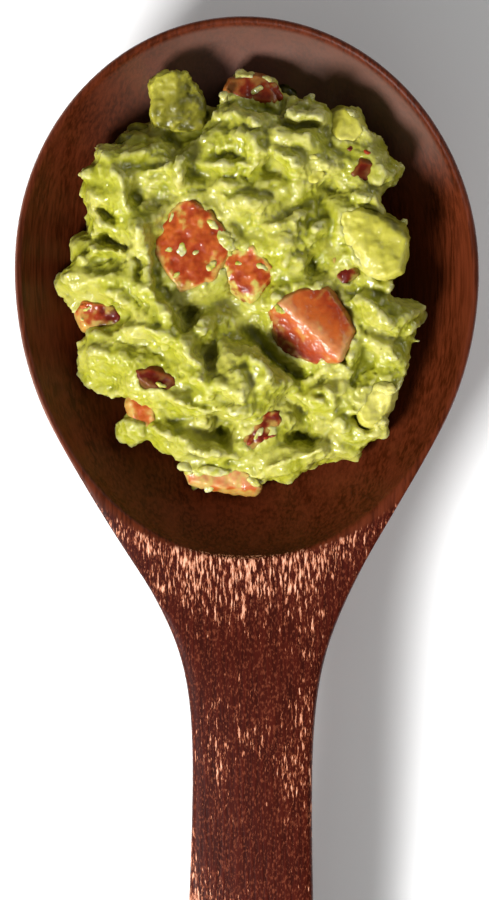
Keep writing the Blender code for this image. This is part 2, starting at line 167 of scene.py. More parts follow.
# ---- Shader helpers ----------------------------------------------------------------------
class Graph:
    """Builds one node tree by name, so that a material reads as a list of steps."""

    def __init__(self, tree):
        self.tree = tree

    def node(self, kind, **settings):
        made = self.tree.nodes.new(kind)
        for name, value in settings.items():
            setattr(made, name, value)
        return made

    def feed(self, socket, value):
        if isinstance(value, bpy.types.NodeSocket):
            self.tree.links.new(value, socket)
        else:
            socket.default_value = value

    def attribute(self, name):
        return self.node("ShaderNodeAttribute", attribute_name=name).outputs["Fac"]

    def place(self, scale=(1.0, 1.0, 1.0), turn=(0.0, 0.0, 0.0)):
        """Object coordinates, stretched and turned."""
        mapping = self.node("ShaderNodeMapping")
        self.feed(mapping.inputs["Vector"], self.node("ShaderNodeTexCoord").outputs["Object"])
        mapping.inputs["Scale"].default_value = scale
        mapping.inputs["Rotation"].default_value = turn
        return mapping.outputs["Vector"]

    def noise(self, where, size, detail=3.0, roughness=0.55, distortion=0.0):
        """Noise whose features are about this size in metres."""
        made = self.node("ShaderNodeTexNoise")
        self.feed(made.inputs["Vector"], where)
        made.inputs["Scale"].default_value = 1.0 / size
        made.inputs["Detail"].default_value = detail
        made.inputs["Roughness"].default_value = roughness
        made.inputs["Distortion"].default_value = distortion
        return made.outputs["Fac"]

    def cells(self, where, size, feature="F1"):
        made = self.node("ShaderNodeTexVoronoi", feature=feature)
        self.feed(made.inputs["Vector"], where)
        made.inputs["Scale"].default_value = 1.0 / size
        return made.outputs["Distance"]

    def ramp(self, value, low, high, start=0.0, end=1.0):
        """Start below low, end above high, and a smooth change between."""
        made = self.node("ShaderNodeMapRange", interpolation_type="SMOOTHSTEP")
        self.feed(made.inputs["Value"], value)
        for name, number in (("From Min", low), ("From Max", high), ("To Min", start), ("To Max", end)):
            self.feed(made.inputs[name], number)
        return made.outputs["Result"]

    def maths(self, operation, first, second=0.0):
        made = self.node("ShaderNodeMath", operation=operation)
        self.feed(made.inputs[0], first)
        self.feed(made.inputs[1], second)
        return made.outputs["Value"]

    def blend(self, share, first, second):
        """From the first colour to the second as the share goes from 0 to 1."""
        made = self.node("ShaderNodeMix", data_type="RGBA")
        self.feed(made.inputs["Factor"], share)
        self.feed(made.inputs["A"], first)
        self.feed(made.inputs["B"], second)
        return made.outputs["Result"]

    def bump(self, height, depth, under=None):
        made = self.node("ShaderNodeBump")
        self.feed(made.inputs["Height"], height)
        made.inputs["Distance"].default_value = depth
        if under is not None:
            self.feed(made.inputs["Normal"], under)
        return made.outputs["Normal"]


def colour(red, green, blue):
    """A screen colour, 0 to 255, as linear light."""
    def linear(level):
        level /= 255.0
        return level / 12.92 if level <= 0.04045 else ((level + 0.055) / 1.055) ** 2.4
    return (linear(red), linear(green), linear(blue), 1.0)


def new_material(name, **settings):
    """An empty material's graph and its Principled shader, whose plain sockets are set by name."""
    made = bpy.data.materials.new(name)
    made.use_nodes = True
    shader = made.node_tree.nodes["Principled BSDF"]
    for socket, value in settings.items():
        shader.inputs[socket.replace("_", " ")].default_value = value
    return made, Graph(made.node_tree), shader


# ---- The chunks' shapes ------------------------------------------------------------------
# Each chunk's outline from above, counter-clockwise in mm, then the planes that cut its top:
# (x, y, height there, rise per mm in X and in Y, tone there, tone per mm in X and in Y).
# A tone runs from 0, the deepest colour, to 1, the palest.
SHAPES = {
    "tomato_dice": (
        [(13.8, -8.0), (12.5, -5.6), (10.4, -2.5), (7.0, -2.8), (5.0, -3.9), (3.1, -5.4), (4.1, -10.2),
         (6.0, -11.2), (9.0, -12.2), (11.8, -11.8)],
        [(7.5, -7.2, 22.3, -0.16, -0.12, 0.9, -0.08, -0.09), (7.5, -7.2, 22.3, 0.52, 0.6, 0.85, 0.16, 0.17)]),
    "tomato_seeded": (
        [(-2.0, 3.4), (-5.0, 7.4), (-8.0, 9.0), (-11.4, 6.0), (-12.7, 3.2), (-8.6, -2.7), (-4.4, -1.3)],
        [(-7.0, 3.0, 21.2, 0.02, 0.05, 0.46, 0.01, 0.0), (-9.4, 3.0, 21.2, 0.45, -0.1, 0.6, 0.0, -0.02)]),
    "tomato_pulp": (
        [(3.7, -0.2), (0.8, 3.0), (-2.6, 2.2), (-2.9, -0.8), (0.4, -4.2)],
        [(0.0, -0.5, 20.7, 0.05, 0.08, 0.55, 0.0, 0.04), (-1.0, -1.5, 20.7, 0.4, 0.5, 0.4, 0.0, 0.0)]),
    "tomato_corner": (
        [(14.0, -0.4), (13.6, 1.0), (12.4, 2.2), (11.3, 1.4), (11.2, -0.6), (12.6, -1.9)],
        [(12.5, 0.0, 20.3, 0.0, 0.1, 0.08, 0.0, 0.0)]),
    "tomato_left": (
        [(-16.6, -5.9), (-17.4, -4.9), (-19.0, -4.5), (-21.2, -4.2), (-22.0, -5.6), (-21.2, -7.4),
         (-19.5, -7.3), (-16.8, -7.0)],
        [(-19.0, -6.0, 17.0, 0.10, 0.12, 0.2, -0.16, 0.0)]),
    "tomato_low_left": (
        [(-12.2, -19.4), (-12.4, -17.2), (-13.4, -16.5), (-14.6, -16.2), (-15.4, -17.4), (-14.8, -19.4),
         (-13.6, -20.9)],
        [(-13.6, -18.4, 17.1, 0.1, 0.15, 0.62, 0.0, 0.0)]),
    "tomato_bottom": (
        [(1.5, -28.4), (0.8, -27.0), (-0.8, -26.0), (-7.0, -25.2), (-7.7, -26.4), (-7.3, -27.5),
         (-2.6, -28.6), (1.0, -28.9)],
        [(-3.0, -27.0, 15.9, 0.0, 0.05, 0.9, 0.0, 0.03), (-3.0, -28.2, 15.9, 0.0, 0.9, 0.7, 0.0, 0.1)]),
    "tomato_top": (
        [(4.3, 22.4), (2.7, 24.8), (1.2, 25.3), (-2.0, 24.6), (-2.5, 23.6), (-1.0, 22.6), (3.6, 21.8)],
        [(1.0, 24.0, 17.8, -0.05, -0.1, 0.12, 0.0, -0.02), (2.6, 24.0, 17.8, -0.5, -0.3, 0.2, 0.0, 0.0)]),
    "tomato_sliver": (
        [(0.2, -23.4), (2.0, -22.2), (4.4, -19.6), (4.0, -18.6), (2.6, -18.6), (0.2, -21.0), (-0.6, -22.8)],
        [(2.0, -20.8, 18.0, -0.1, 0.1, 0.1, 0.0, 0.0)]),
    "red_onion_left": (
        [(-9.2, -14.9), (-9.6, -14.0), (-12.4, -13.0), (-14.2, -13.3), (-14.1, -14.2), (-12.8, -15.1),
         (-10.2, -15.6)],
        [(-11.8, -14.3, 20.4, 0.03, 0.1, 0.1, 0.0, 0.12)]),
    "red_onion_right": (
        [(16.2, 10.9), (16.1, 13.5), (14.9, 13.9), (13.6, 12.4), (14.2, 11.2), (15.4, 10.4)],
        [(15.0, 12.0, 20.9, -0.1, 0.2, 0.06, 0.0, 0.08)]),
    # The avocado's second plane, the facet falling away to the far right, is toned dark as painted shade, and its
    # third, the bevel on the near left, pale as a painted highlight.
    "avocado_right": (
        [(19.6, -0.2), (20.2, 1.6), (20.5, 4.0), (20.1, 5.3), (18.8, 6.3), (14.6, 7.5), (12.4, 7.3),
         (12.3, 5.0), (14.0, 1.8), (16.0, -0.8), (18.0, -1.0)],
        [(16.5, 3.5, 22.4, 0.02, -0.02, 0.68, -0.03, -0.02), (18.4, 5.5, 22.4, -0.47, -0.77, 0.22, 0.0, -0.05),
         (13.8, 4.2, 22.4, 0.5, 0.3, 0.85, 0.0, 0.0)]),
    "avocado_top_right": (
        [(14.9, 18.0), (14.4, 19.3), (13.4, 20.2), (12.6, 20.8), (11.4, 20.4), (10.8, 19.9), (11.4, 17.8),
         (12.0, 16.9), (14.0, 16.9)],
        [(13.0, 19.2, 20.5, -0.08, -0.12, 0.7, 0.0, -0.05), (12.2, 20.0, 20.5, 0.6, -0.3, 0.35, 0.0, 0.0)]),
    "avocado_low_right": (
        [(19.1, -15.6), (18.2, -14.8), (16.8, -14.8), (15.2, -16.3), (14.6, -18.6), (15.2, -20.0),
         (16.4, -20.4), (17.5, -19.6), (18.6, -17.4)],
        [(17.0, -17.5, 19.4, -0.12, 0.08, 0.85, 0.02, 0.02)]),
    # This chunk is toned darker towards its right and on its two further planes: partly its darker flesh, partly
    # painted shade.
    "avocado_top_left": (
        [(-5.3, 19.4), (-5.5, 22.5), (-6.8, 24.2), (-8.0, 25.4), (-9.6, 25.9), (-11.8, 25.2), (-12.5, 24.0),
         (-12.4, 18.7), (-8.6, 18.0), (-5.6, 18.6)],
        [(-10.6, 23.0, 19.9, 0.06, 0.1, 0.46, -0.05, 0.03), (-9.0, 23.0, 19.9, -0.4, 0.1, 0.2, 0.0, 0.0),
         (-9.6, 21.4, 19.7, 0.0, 0.35, 0.2, 0.0, 0.02)]),
}
STANDING_FREE = ("avocado_top_left",)      # the mash doesn't close round these
# How far the mash's edge wanders over a chunk, in mm, and how far the chunk reaches on under it.
WANDERING = {"tomato_dice": 0.35, "tomato_seeded": 1.3, "tomato_pulp": 1.5, "avocado_right": 0.5,
             "avocado_low_right": 0.8}
SMALL_WANDERING = 0.6
COVERED_EDGE = 0.6
BURIED = ("red_onion_left", "red_onion_right", "tomato_sliver", "tomato_corner", "tomato_pulp")
BURIED_EDGE = 1.3
UNDER_MASH = 1.3               # how steeply a chunk's top falls beyond its outline


def away_from(points, outline):
    """How far outside a convex outline each point is in mm, and below 0 inside it."""
    x, y = points[:, 0] / MM, points[:, 1] / MM
    away = np.full(len(points), -99.0)
    for (start_x, start_y), (end_x, end_y) in zip(outline, outline[1:] + outline[:1]):
        side_x, side_y = end_x - start_x, end_y - start_y
        off = ((x - start_x) * side_y - (y - start_y) * side_x) / math.hypot(side_x, side_y)
        away = np.maximum(away, off)
    return away


def top_and_tone(points, planes):
    """A chunk's cut top over each point, and the tone of the plane that cuts it there."""
    x, y = points[:, 0] / MM, points[:, 1] / MM
    heights = np.array([row[2] + (x - row[0]) * row[3] + (y - row[1]) * row[4] for row in planes])
    tones = np.array([row[5] + (x - row[0]) * row[6] + (y - row[1]) * row[7] for row in planes])
    cutting = heights.argmin(axis=0)
    every = np.arange(len(points))
    return heights[cutting, every] * MM, tones[cutting, every]


# ---- The mash ----------------------------------------------------------------------------
# Places on the heap are in mm from the frame's origin, as seen from above.
# Hollows: (x, y, half length, half width, turn in degrees, depth).
HOLLOWS = {
    "pit": (-8.0, -6.7, 1.6, 1.3, 20, 4.2),
    "pit_shelf": (-8.2, -5.3, 1.9, 0.8, 0, 2.6),
    "basin": (-3.2, -6.4, 3.6, 3.2, 0, -2.2),
    "basin_notch": (-4.8, -11.2, 2.1, 1.0, 70, 2.2),
    "beside_dice": (2.4, -7.6, 3.4, 1.0, 90, 1.4),
    "right_of_dice": (13.6, -10.4, 2.2, 1.6, 60, -2.6),
    "below_dice": (5.2, -12.2, 3.2, 0.9, -20, 2.2),
    "ledge_shadow": (9.8, -14.6, 1.6, 0.6, 12, 1.9),
    "ledge_dimple": (6.9, -13.2, 0.7, 0.6, 0, 2.0),
    "right_hollow": (14.6, -19.6, 1.9, 1.0, 110, 2.8),
    "right_dimple": (10.4, -19.0, 1.1, 0.8, 0, 1.6),
    "low_trough": (5.6, -22.0, 5.0, 1.0, 4, 2.4),
    "sweep_trough": (-3.4, -21.9, 3.6, 0.8, -16, 1.6),
    "sweep_hollow": (-8.2, -19.3, 2.0, 0.8, -22, 1.6),
    "slope_hollow": (-7.6, -15.4, 1.7, 0.7, -15, 1.4),
    "middle_dimple": (-2.6, -16.8, 1.6, 0.6, -25, 1.4),
    "left_band": (-14.2, -9.5, 2.6, 0.6, 6, 1.1),
    "tomato_recess": (-15.6, -6.6, 1.3, 0.8, 0, 2.0),
    "left_gap": (-16.8, 3.5, 2.2, 0.8, -8, 1.9),
    "plateau_hollow": (-16.3, 1.4, 1.2, 0.6, -10, 1.6),
    "neck_gap": (-14.2, 0.4, 1.9, 0.6, 90, 2.2),
    "beside_ridge": (-11.6, 0.2, 2.0, 1.0, 100, 1.4),
    "dimple": (-14.3, 9.4, 1.4, 0.8, 95, 1.5),
    "edge_dimple": (-18.6, 7.2, 1.1, 0.8, -30, 1.1),
    "block_foot": (-6.0, 11.8, 1.8, 1.6, 0, 1.8),
    "top_slot": (-2.8, 14.6, 1.9, 0.45, 0, 1.6),
    "under_fold": (-7.2, 9.3, 2.6, 0.7, -12, 1.6),
    "top_loop": (6.8, 18.8, 2.4, 0.8, -6, 1.8),
    "under_spike": (6.6, 21.4, 1.9, 0.6, 0, 1.8),
    "slope_shadow": (4.4, 12.8, 1.8, 0.8, -55, 1.8),
    "right_valley": (11.0, 9.2, 3.0, 1.4, 95, 2.0),
    "avocado_gap": (16.8, 7.0, 1.1, 0.6, 0, 3.2),
    "under_avocado": (12.8, 0.6, 2.2, 1.2, 90, 2.4),
    "centre_shadow": (8.7, 0.4, 1.5, 0.6, 80, 1.6),
    "top_gap": (-5.3, 21.6, 2.4, 0.9, 80, 3.8),
}
# Folds and smears left by the spoon: points that the crest runs through, its half width and height.
FOLDS = {
    "block_top": ([(-19.6, 15.2), (-15.6, 15.4), (-10.6, 16.3), (-8.4, 14.8)], 0.8, 1.1),
    "block_edge": ([(-8.6, 14.6), (-8.3, 12.2), (-9.6, 10.6)], 0.7, 1.4),
    "block_ridge": ([(-17.3, 13.9), (-16.6, 12.2), (-16.2, 10.6), (-15.8, 8.8), (-14.8, 7.6)], 0.55, 1.0),
    "block_fold": ([(-13.8, 12.6), (-11.2, 13.4), (-9.4, 13.0)], 0.6, 0.9),
    "block_low": ([(-20.4, 9.6), (-19.8, 6.6), (-17.2, 5.7)], 0.7, 1.1),
    "neck": ([(-14.8, 6.8), (-13.4, 4.2), (-13.1, 1.2), (-12.9, -0.9), (-10.4, -2.0)], 0.7, 1.4),
    "finger": ([(-22.8, 3.6), (-20.6, 3.4), (-18.6, 2.6)], 0.6, 1.2),
    "plateau_edge": ([(-23.6, 1.0), (-20.6, 1.9), (-17.6, 2.6), (-15.2, 1.1), (-15.8, -0.4)], 0.55, 1.3),
    "left_crest": ([(-24.2, -1.4), (-20.2, -0.6), (-16.4, -0.9)], 0.9, 0.9),
    "left_curl": ([(-19.6, -2.8), (-16.4, -3.1), (-15.3, -5.2)], 0.6, 1.0),
    "pit_edge": ([(-14.4, -2.4), (-12.0, -3.0), (-10.5, -4.8), (-10.0, -7.6)], 0.9, 1.6),
    "left_mass_edge": ([(-21.0, -8.2), (-17.2, -7.6), (-13.8, -7.4), (-10.2, -8.6)], 0.7, 1.3),
    "basin_rim": ([(-9.4, -9.0), (-7.4, -10.2), (-6.0, -12.8), (-5.2, -15.4)], 0.8, 1.8),
    "left_low_crest": ([(-21.6, -10.4), (-18.0, -11.4), (-12.0, -10.9)], 1.0, 0.9),
    "sweep_1": ([(-12.4, -15.9), (-7.4, -17.9), (-3.4, -18.9), (1.6, -18.7)], 0.6, 1.3),
    "sweep_2": ([(-9.6, -19.0), (-5.4, -20.3), (-0.4, -20.3)], 0.55, 1.2),
    "low_left": ([(-12.2, -20.0), (-9.0, -21.6), (-5.6, -23.8), (-1.0, -24.3)], 0.9, 1.4),
    "lower_rim": ([(-1.4, -25.2), (4.4, -25.8), (8.6, -23.9), (13.2, -23.7)], 0.8, 1.3),
    "trough_ridge": ([(3.4, -23.4), (7.4, -23.5), (11.6, -22.8)], 0.5, 0.8),
    "middle_crest": ([(-3.4, -12.4), (-2.8, -10.4), (0.2, -9.9), (2.6, -12.4), (4.0, -15.6)], 0.85, 1.9),
    "middle_inner": ([(-1.9, -12.2), (-0.7, -14.6), (-0.5, -17.4)], 0.55, 1.0),
    "middle_fold": ([(-4.8, -14.4), (-2.8, -15.6), (-1.0, -16.0)], 0.5, 0.9),
    "ledge_flake": ([(4.1, -13.9), (6.2, -14.1)], 0.8, 1.4),
    "right_ledge": ([(7.8, -12.7), (10.6, -12.6), (13.6, -13.4)], 0.6, 1.3),
    "right_branch_1": ([(9.4, -16.0), (12.4, -16.0), (15.6, -15.2)], 0.6, 1.1),
    "right_branch_2": ([(11.2, -17.2), (12.2, -19.2), (13.4, -20.4)], 0.55, 1.2),
    "right_branch_3": ([(5.4, -16.0), (8.2, -16.9), (10.4, -18.0)], 0.55, 1.0),
    "right_crest": ([(13.0, -3.4), (16.2, -4.4), (19.0, -7.4)], 0.8, 1.2),
    "right_crest_low": ([(14.8, -8.8), (18.4, -9.6), (20.0, -12.4)], 0.9, 1.1),
    "loop_far": ([(4.2, 20.2), (7.6, 20.0), (10.1, 19.8), (10.0, 17.4)], 0.6, 1.4),
    "loop_near": ([(2.8, 17.4), (6.4, 17.2), (9.2, 16.4)], 0.8, 1.6),
    "top_knob": ([(1.2, 19.7), (1.4, 18.7)], 1.1, 1.4),
    "top_left_ridge": ([(-5.0, 20.4), (-2.2, 20.2), (-0.6, 21.2)], 0.7, 1.3),
    "top_slope": ([(-1.4, 17.6), (0.8, 16.8), (2.2, 14.4)], 0.7, 1.3),
    "slope_point": ([(4.0, 15.0), (5.8, 14.2), (6.6, 12.8)], 0.6, 1.4),
    "fold_1": ([(-5.6, 13.4), (-1.6, 13.3), (1.8, 13.6)], 0.5, 1.1),
    "fold_2": ([(-5.0, 10.9), (-1.0, 11.1), (3.0, 11.2)], 0.5, 1.1),
    "fold_3": ([(-3.8, 9.1), (0.6, 9.0), (3.2, 8.2)], 0.7, 1.2),
    "centre_edge": ([(1.8, 5.9), (5.6, 6.1), (7.8, 7.0)], 0.55, 1.3),
    "centre_lump": ([(3.2, 4.4), (6.2, 3.6)], 1.3, 0.9),
    "centre_lump_right": ([(8.8, 5.8), (10.2, 4.2)], 0.9, 1.0),
    "centre_low": ([(3.6, 1.2), (6.6, 1.4), (7.9, -0.6)], 0.7, 1.0),
    "small_block": ([(13.2, 9.9), (15.2, 9.4), (17.4, 8.2)], 0.8, 1.4),
    "far_right": ([(15.4, 14.8), (17.4, 13.2), (18.0, 11.0)], 0.8, 1.1),
}
# Tongues of mash that lie over the chunks, and tips that stand out of the edge:
# points, then the radius at the start and at the end.
TONGUES = {
    "over_seeded_top": ([(-12.6, 6.4), (-9.4, 8.4), (-6.0, 8.8)], 0.9, 0.6),
    "over_seeded_side": ([(-5.4, 8.4), (-2.6, 6.0), (-0.8, 3.2)], 0.85, 0.45),
    "between_tomatoes": ([(-3.0, 5.4), (0.4, 4.2), (3.6, 1.6)], 0.7, 0.4),
    "over_pulp_top": ([(0.2, 3.6), (2.6, 1.2)], 0.6, 0.35),
    "under_seeded": ([(-8.6, -2.0), (-5.8, -1.2), (-2.6, -1.8)], 0.7, 0.5),
    "over_dice_corner": ([(3.4, -4.4), (3.9, -6.6)], 0.6, 0.3),
    "below_dice": ([(4.2, -10.8), (7.4, -12.2), (10.0, -11.9)], 0.7, 0.5),
    "avocado_side": ([(12.6, 7.2), (12.0, 4.8), (12.4, 3.2)], 0.6, 0.5),
    "over_top_tomato": ([(-3.0, 22.6), (-0.8, 22.0), (3.4, 22.2)], 0.7, 0.8),
    "over_bottom_tomato": ([(-8.4, -25.6), (-5.4, -26.0), (-0.4, -25.8)], 0.9, 0.7),
    "over_left_tomato": ([(-22.6, -4.2), (-19.4, -3.6), (-16.4, -4.4)], 0.7, 0.5),
    "over_low_left_tomato": ([(-12.0, -16.4), (-11.6, -19.8)], 0.7, 0.5),
    "over_sliver": ([(0.4, -19.0), (3.4, -20.6)], 0.6, 0.5),
}
TIPS = {
    "leaf_right": ([(19.6, -6.4), (21.4, -5.8), (22.9, -5.2)], 0.9, 0.4),
    "leaf_right_side": ([(21.0, -7.4), (22.3, -6.6)], 0.8, 0.5),
    "leaf_right_low": ([(20.4, -8.8), (22.4, -9.3)], 0.6, 0.3),
    "avocado_spike": ([(19.8, 5.6), (20.9, 6.6)], 0.5, 0.22),
    "upper_right_spike": ([(18.0, 12.0), (20.4, 13.6)], 0.8, 0.2),
    "top_spike": ([(7.4, 21.4), (8.5, 22.9)], 0.9, 0.25),
    "upper_left_spike": ([(-18.2, 15.4), (-20.0, 16.2)], 0.7, 0.25),
    "left_spike": ([(-20.4, 12.6), (-21.9, 12.2)], 0.7, 0.25),
    "finger_tip": ([(-21.0, 3.2), (-23.0, 3.6)], 0.7, 0.35),
    "centre_spike": ([(7.6, 6.8), (8.5, 8.0), (9.1, 9.6)], 0.75, 0.2),
    "bottom_tip": ([(-4.6, -28.2), (-5.4, -28.9)], 0.6, 0.3),
    "low_left_tip": ([(-14.4, -20.2), (-16.1, -21.3)], 1.5, 1.4),
}
# Pulls on the heap's edge: (x, y, reach, move in X and in Y).
EDGE_PULLS = [
    (-21.0, 14.9, 2.2, 0.8, -0.5), (-21.9, 11.4, 2.4, 0.7, 0.0), (-21.9, 7.6, 3.0, 1.1, 0.0),
    (-22.0, 4.9, 1.6, 1.3, 0.2), (-23.4, 1.9, 1.4, 0.7, -0.6), (-25.0, -0.9, 2.6, -1.1, 0.0),
    (-22.0, -8.4, 1.4, 0.9, 0.0), (-22.2, -13.0, 2.6, -0.8, 0.0), (-22.0, -15.6, 1.4, -0.5, -0.3),
    (-15.4, -17.6, 1.6, 0.9, 0.3), (-17.4, -20.6, 1.8, -0.7, 0.4), (-15.8, -22.6, 1.6, 0.0, -0.8),
    (-13.2, -23.0, 2.0, 0.0, 1.0), (-10.4, -24.8, 1.4, 0.5, 0.4), (17.6, 18.4, 3.0, -1.6, -0.6),
    (19.6, 15.6, 2.2, -1.3, 0.0), (20.0, 9.8, 2.8, -3.0, 0.0), (20.4, 13.8, 1.0, 0.8, 0.0),
    (19.6, 7.2, 1.6, -1.8, 0.4), (20.6, -2.8, 2.4, -2.0, -0.6), (22.8, -7.2, 1.4, -0.9, 0.0),
    (20.6, -14.8, 2.0, -0.7, 0.0), (20.0, -19.2, 3.6, -2.2, 0.6), (16.4, -23.2, 2.6, -0.9, 0.8),
    (11.4, -25.9, 3.8, 0.0, 1.5), (7.6, -27.2, 1.4, -0.2, 0.6), (5.4, -27.9, 1.2, 0.0, -0.5),
    (2.8, -28.2, 1.6, -0.8, 0.8), (-4.7, 22.4, 1.8, 0.9, -0.6), (-3.7, 24.6, 1.6, 0.9, -0.6),
    (11.4, 21.8, 2.2, 0.0, -1.0), (8.6, 22.6, 1.0, 0.2, 0.8), (-17.4, 17.4, 2.4, 0.0, -0.8),
]
TONGUE_STEP = 0.35 * MM
SOCKET_FILL = 0.34 * MM       # how far a chunk swells to close its socket
SUNK_BY = 1.3 * MM            # how deep the mash then dips inside a chunk
MOST_TRIANGLES = 190000


def drape_height(tree, x, y):
    """Height of the CAD surface below a place, or None beside it."""
    hit = tree.ray_cast(Vector((x, y, 0.1)), Vector((0.0, 0.0, -1.0)))
    return hit[0].z if hit[0] is not None else None


def smooth_path(stops, step):
    """Points at even steps along a soft curve through the stops, with each one's share of the way."""
    stops = [Vector(stop) * MM for stop in stops]
    ends = [2 * stops[0] - stops[1]] + stops + [2 * stops[-1] - stops[-2]]
    path = []
    for before, start, end, after in zip(ends, ends[1:], ends[2:], ends[3:]):
        pieces = max(2, round((end - start).length / step))
        for piece in range(pieces):
            t = piece / pieces
            path.append(0.5 * ((2 * start) + (end - before) * t
                               + (2 * before - 5 * start + 4 * end - after) * t * t
                               + (3 * start - before - 3 * end + after) * t ** 3))
    path.append(stops[-1])
    return [(point, index / (len(path) - 1)) for index, point in enumerate(path)]


def add_tongues(mesh, rows, tree, lift):
    """Beads along each path, laid on the surface below and grown together later."""
    for stops, start_radius, end_radius in rows.values():
        height = None
        for point, share in smooth_path(stops, TONGUE_STEP):
            radius = (start_radius + (end_radius - start_radius) * share) * MM
            found = drape_height(tree, point.x, point.y)
            if found is not None and found > RIM_Z - 9.0 * MM:
                height = found if height is None else 0.6 * height + 0.4 * found
            place = Vector((point.x, point.y, (height or RIM_Z) + lift * radius))
            bmesh.ops.create_icosphere(mesh, subdivisions=1, radius=radius * 1.08,
                                       matrix=Matrix.Translation(place))


def sculpted(points, normals):
    """The heap's points after its hollows are pressed in and its folds, gentler on the near left side, drawn up."""
    bent = points + wandering(points, 2.6 * MM, 51) * (0.7 * MM) + wandering(points, 1.2 * MM, 54) * (0.2 * MM)
    x, y = bent[:, 0] / MM, bent[:, 1] / MM
    facing_up = smooth_step(-0.1, 0.5, normals[:, 2])
    rise = np.full(len(points), -0.1)
    for centre_x, centre_y, long, wide, turn, depth in HOLLOWS.values():
        angle = math.radians(turn)
        along = (x - centre_x) * math.cos(angle) + (y - centre_y) * math.sin(angle)
        across = (y - centre_y) * math.cos(angle) - (x - centre_x) * math.sin(angle)
        rise -= 1.15 * depth * np.exp(-((along / long) ** 2 + (across / wide) ** 2) ** 1.4)
    for stops, width, height in FOLDS.values():
        nearest = np.full(len(points), 99.0)
        taper = np.zeros(len(points))
        reach = np.ones(len(points))
        for point, share in smooth_path(stops, 0.5 * MM):
            aside_x, aside_y = x - point.x / MM, y - point.y / MM
            away = np.hypot(aside_x, aside_y)
            closer = away < nearest
            nearest[closer] = away[closer]
            taper[closer] = min(1.0, 4.0 * share + 0.25, 4.0 * (1.0 - share) + 0.25)
            lean = -(0.67 * aside_x + 0.74 * aside_y) / away.clip(0.01)
            reach[closer] = width * (1.35 + 0.65 * lean[closer])
        rise += 1.9 * height * taper * np.exp(-np.abs(nearest / reach) ** 1.6)
    moved = points.copy()
    moved[:, 2] += facing_up * rise * MM
    return moved


def edge_pulled(points, normals):
    """The points after the bites and points along the heap's edge are drawn in and out."""
    moved = points.copy()
    for x, y, reach, push_x, push_y in EDGE_PULLS:
        away = np.hypot(points[:, 0] - x * MM, points[:, 1] - y * MM) / (reach * MM)
        share = (1.0 - away ** 2).clip(0.0) ** 1.5
        moved[:, 0] += share * push_x * MM
        moved[:, 1] += share * push_y * MM
    return moved


def perlin(points, size, seed):
    """Smooth noise of about -1 to 1 whose features are this size in metres, for all points at once."""
    chance = np.random.default_rng(seed)
    slopes = chance.normal(size=(256, 3))
    slopes /= np.linalg.norm(slopes, axis=1)[:, None]
    shuffled = chance.permutation(256)
    where = points / size
    cell = np.floor(where).astype(np.int64)
    inside = where - cell
    fade = inside ** 3 * (inside * (inside * 6.0 - 15.0) + 10.0)
    total = np.zeros(len(points))
    for corner in ((i, j, k) for i in (0, 1) for j in (0, 1) for k in (0, 1)):
        spot = (cell + corner) & 255
        pick_slope = shuffled[(shuffled[(shuffled[spot[:, 0]] + spot[:, 1]) & 255] + spot[:, 2]) & 255]
        weight = np.prod(np.where(corner, fade, 1.0 - fade), axis=1)
        total += weight * np.einsum("ij,ij->i", slopes[pick_slope], inside - corner)
    return total * 1.8


def wandering(points, size, seed):
    """Three noises as a push in X, Y and Z."""
    return np.stack([perlin(points, size, seed + axis) for axis in range(3)], axis=1)


def shelf(value, edge, soft, lip):
    """0 below the edge and 1 above it, with a raised lip just past it, as where mash has torn."""
    share = (value - edge) / soft
    up = smooth_step(-1.0, 0.2, share)
    return up * (1.0 + lip * np.clip(1.0 - np.abs(share - 0.4) / 1.6, 0.0, 1.0))


def crest(value, sharpness):
    return np.clip(1.0 - np.abs(value) * sharpness, 0.0, 1.0)


def smear_direction(points, normals):
    """The way the spoon smeared the mash at each point: along the folds nearby, else across the bowl."""
    double = np.tile((0.04, 0.0), (len(points), 1))
    for stops, width, height in FOLDS.values():
        path = smooth_path(stops, 1.0 * MM)
        for (start, _), (end, _) in zip(path, path[1:]):
            away = np.hypot(points[:, 0] - start.x, points[:, 1] - start.y) / (3.2 * MM)
            angle = 2.0 * math.atan2(end.y - start.y, end.x - start.x)
            double += np.exp(-away ** 2)[:, None] * (math.cos(angle), math.sin(angle))
    angle = 0.5 * np.arctan2(double[:, 1], double[:, 0])
    along = np.stack([np.cos(angle), np.sin(angle), np.zeros(len(points))], axis=1)
    along -= normals * np.einsum("ij,ij->i", along, normals)[:, None]
    return along / np.linalg.norm(along, axis=1).clip(0.2)[:, None]


def smeared(points, along, size, reach, seed):
    """Noise drawn out along the smear, as far as the reach to each side."""
    steps = (-1.0, -0.6, -0.25, 0.0, 0.25, 0.6, 1.0)
    return 1.9 * sum(perlin(points + along * reach * step, size, seed) for step in steps) / len(steps)


def torn_relief(points, normals):
    """Shelves and crests 3 to 6 mm apart, drawn out along the smears."""
    along = smear_direction(points, normals)
    where = points + wandering(points, 7.0 * MM, 11) * (2.2 * MM)
    height = 0.3 * shelf(smeared(where, along, 4.2 * MM, 2.4 * MM, 21), 0.0, 0.3, 0.3)
    height += 0.2 * shelf(smeared(where, along, 2.8 * MM, 1.6 * MM, 22), 0.05, 0.3, 0.35)
    height += 0.1 * crest(smeared(where, along, 3.4 * MM, 2.0 * MM, 23), 2.2) ** 2
    height += 0.2 * perlin(where, 2.3 * MM, 27)
    side = wandering(points, 3.0 * MM, 24) * (0.4 * MM)
    return points + normals * ((height - 0.3) * calmness(points) * MM)[:, None] + side


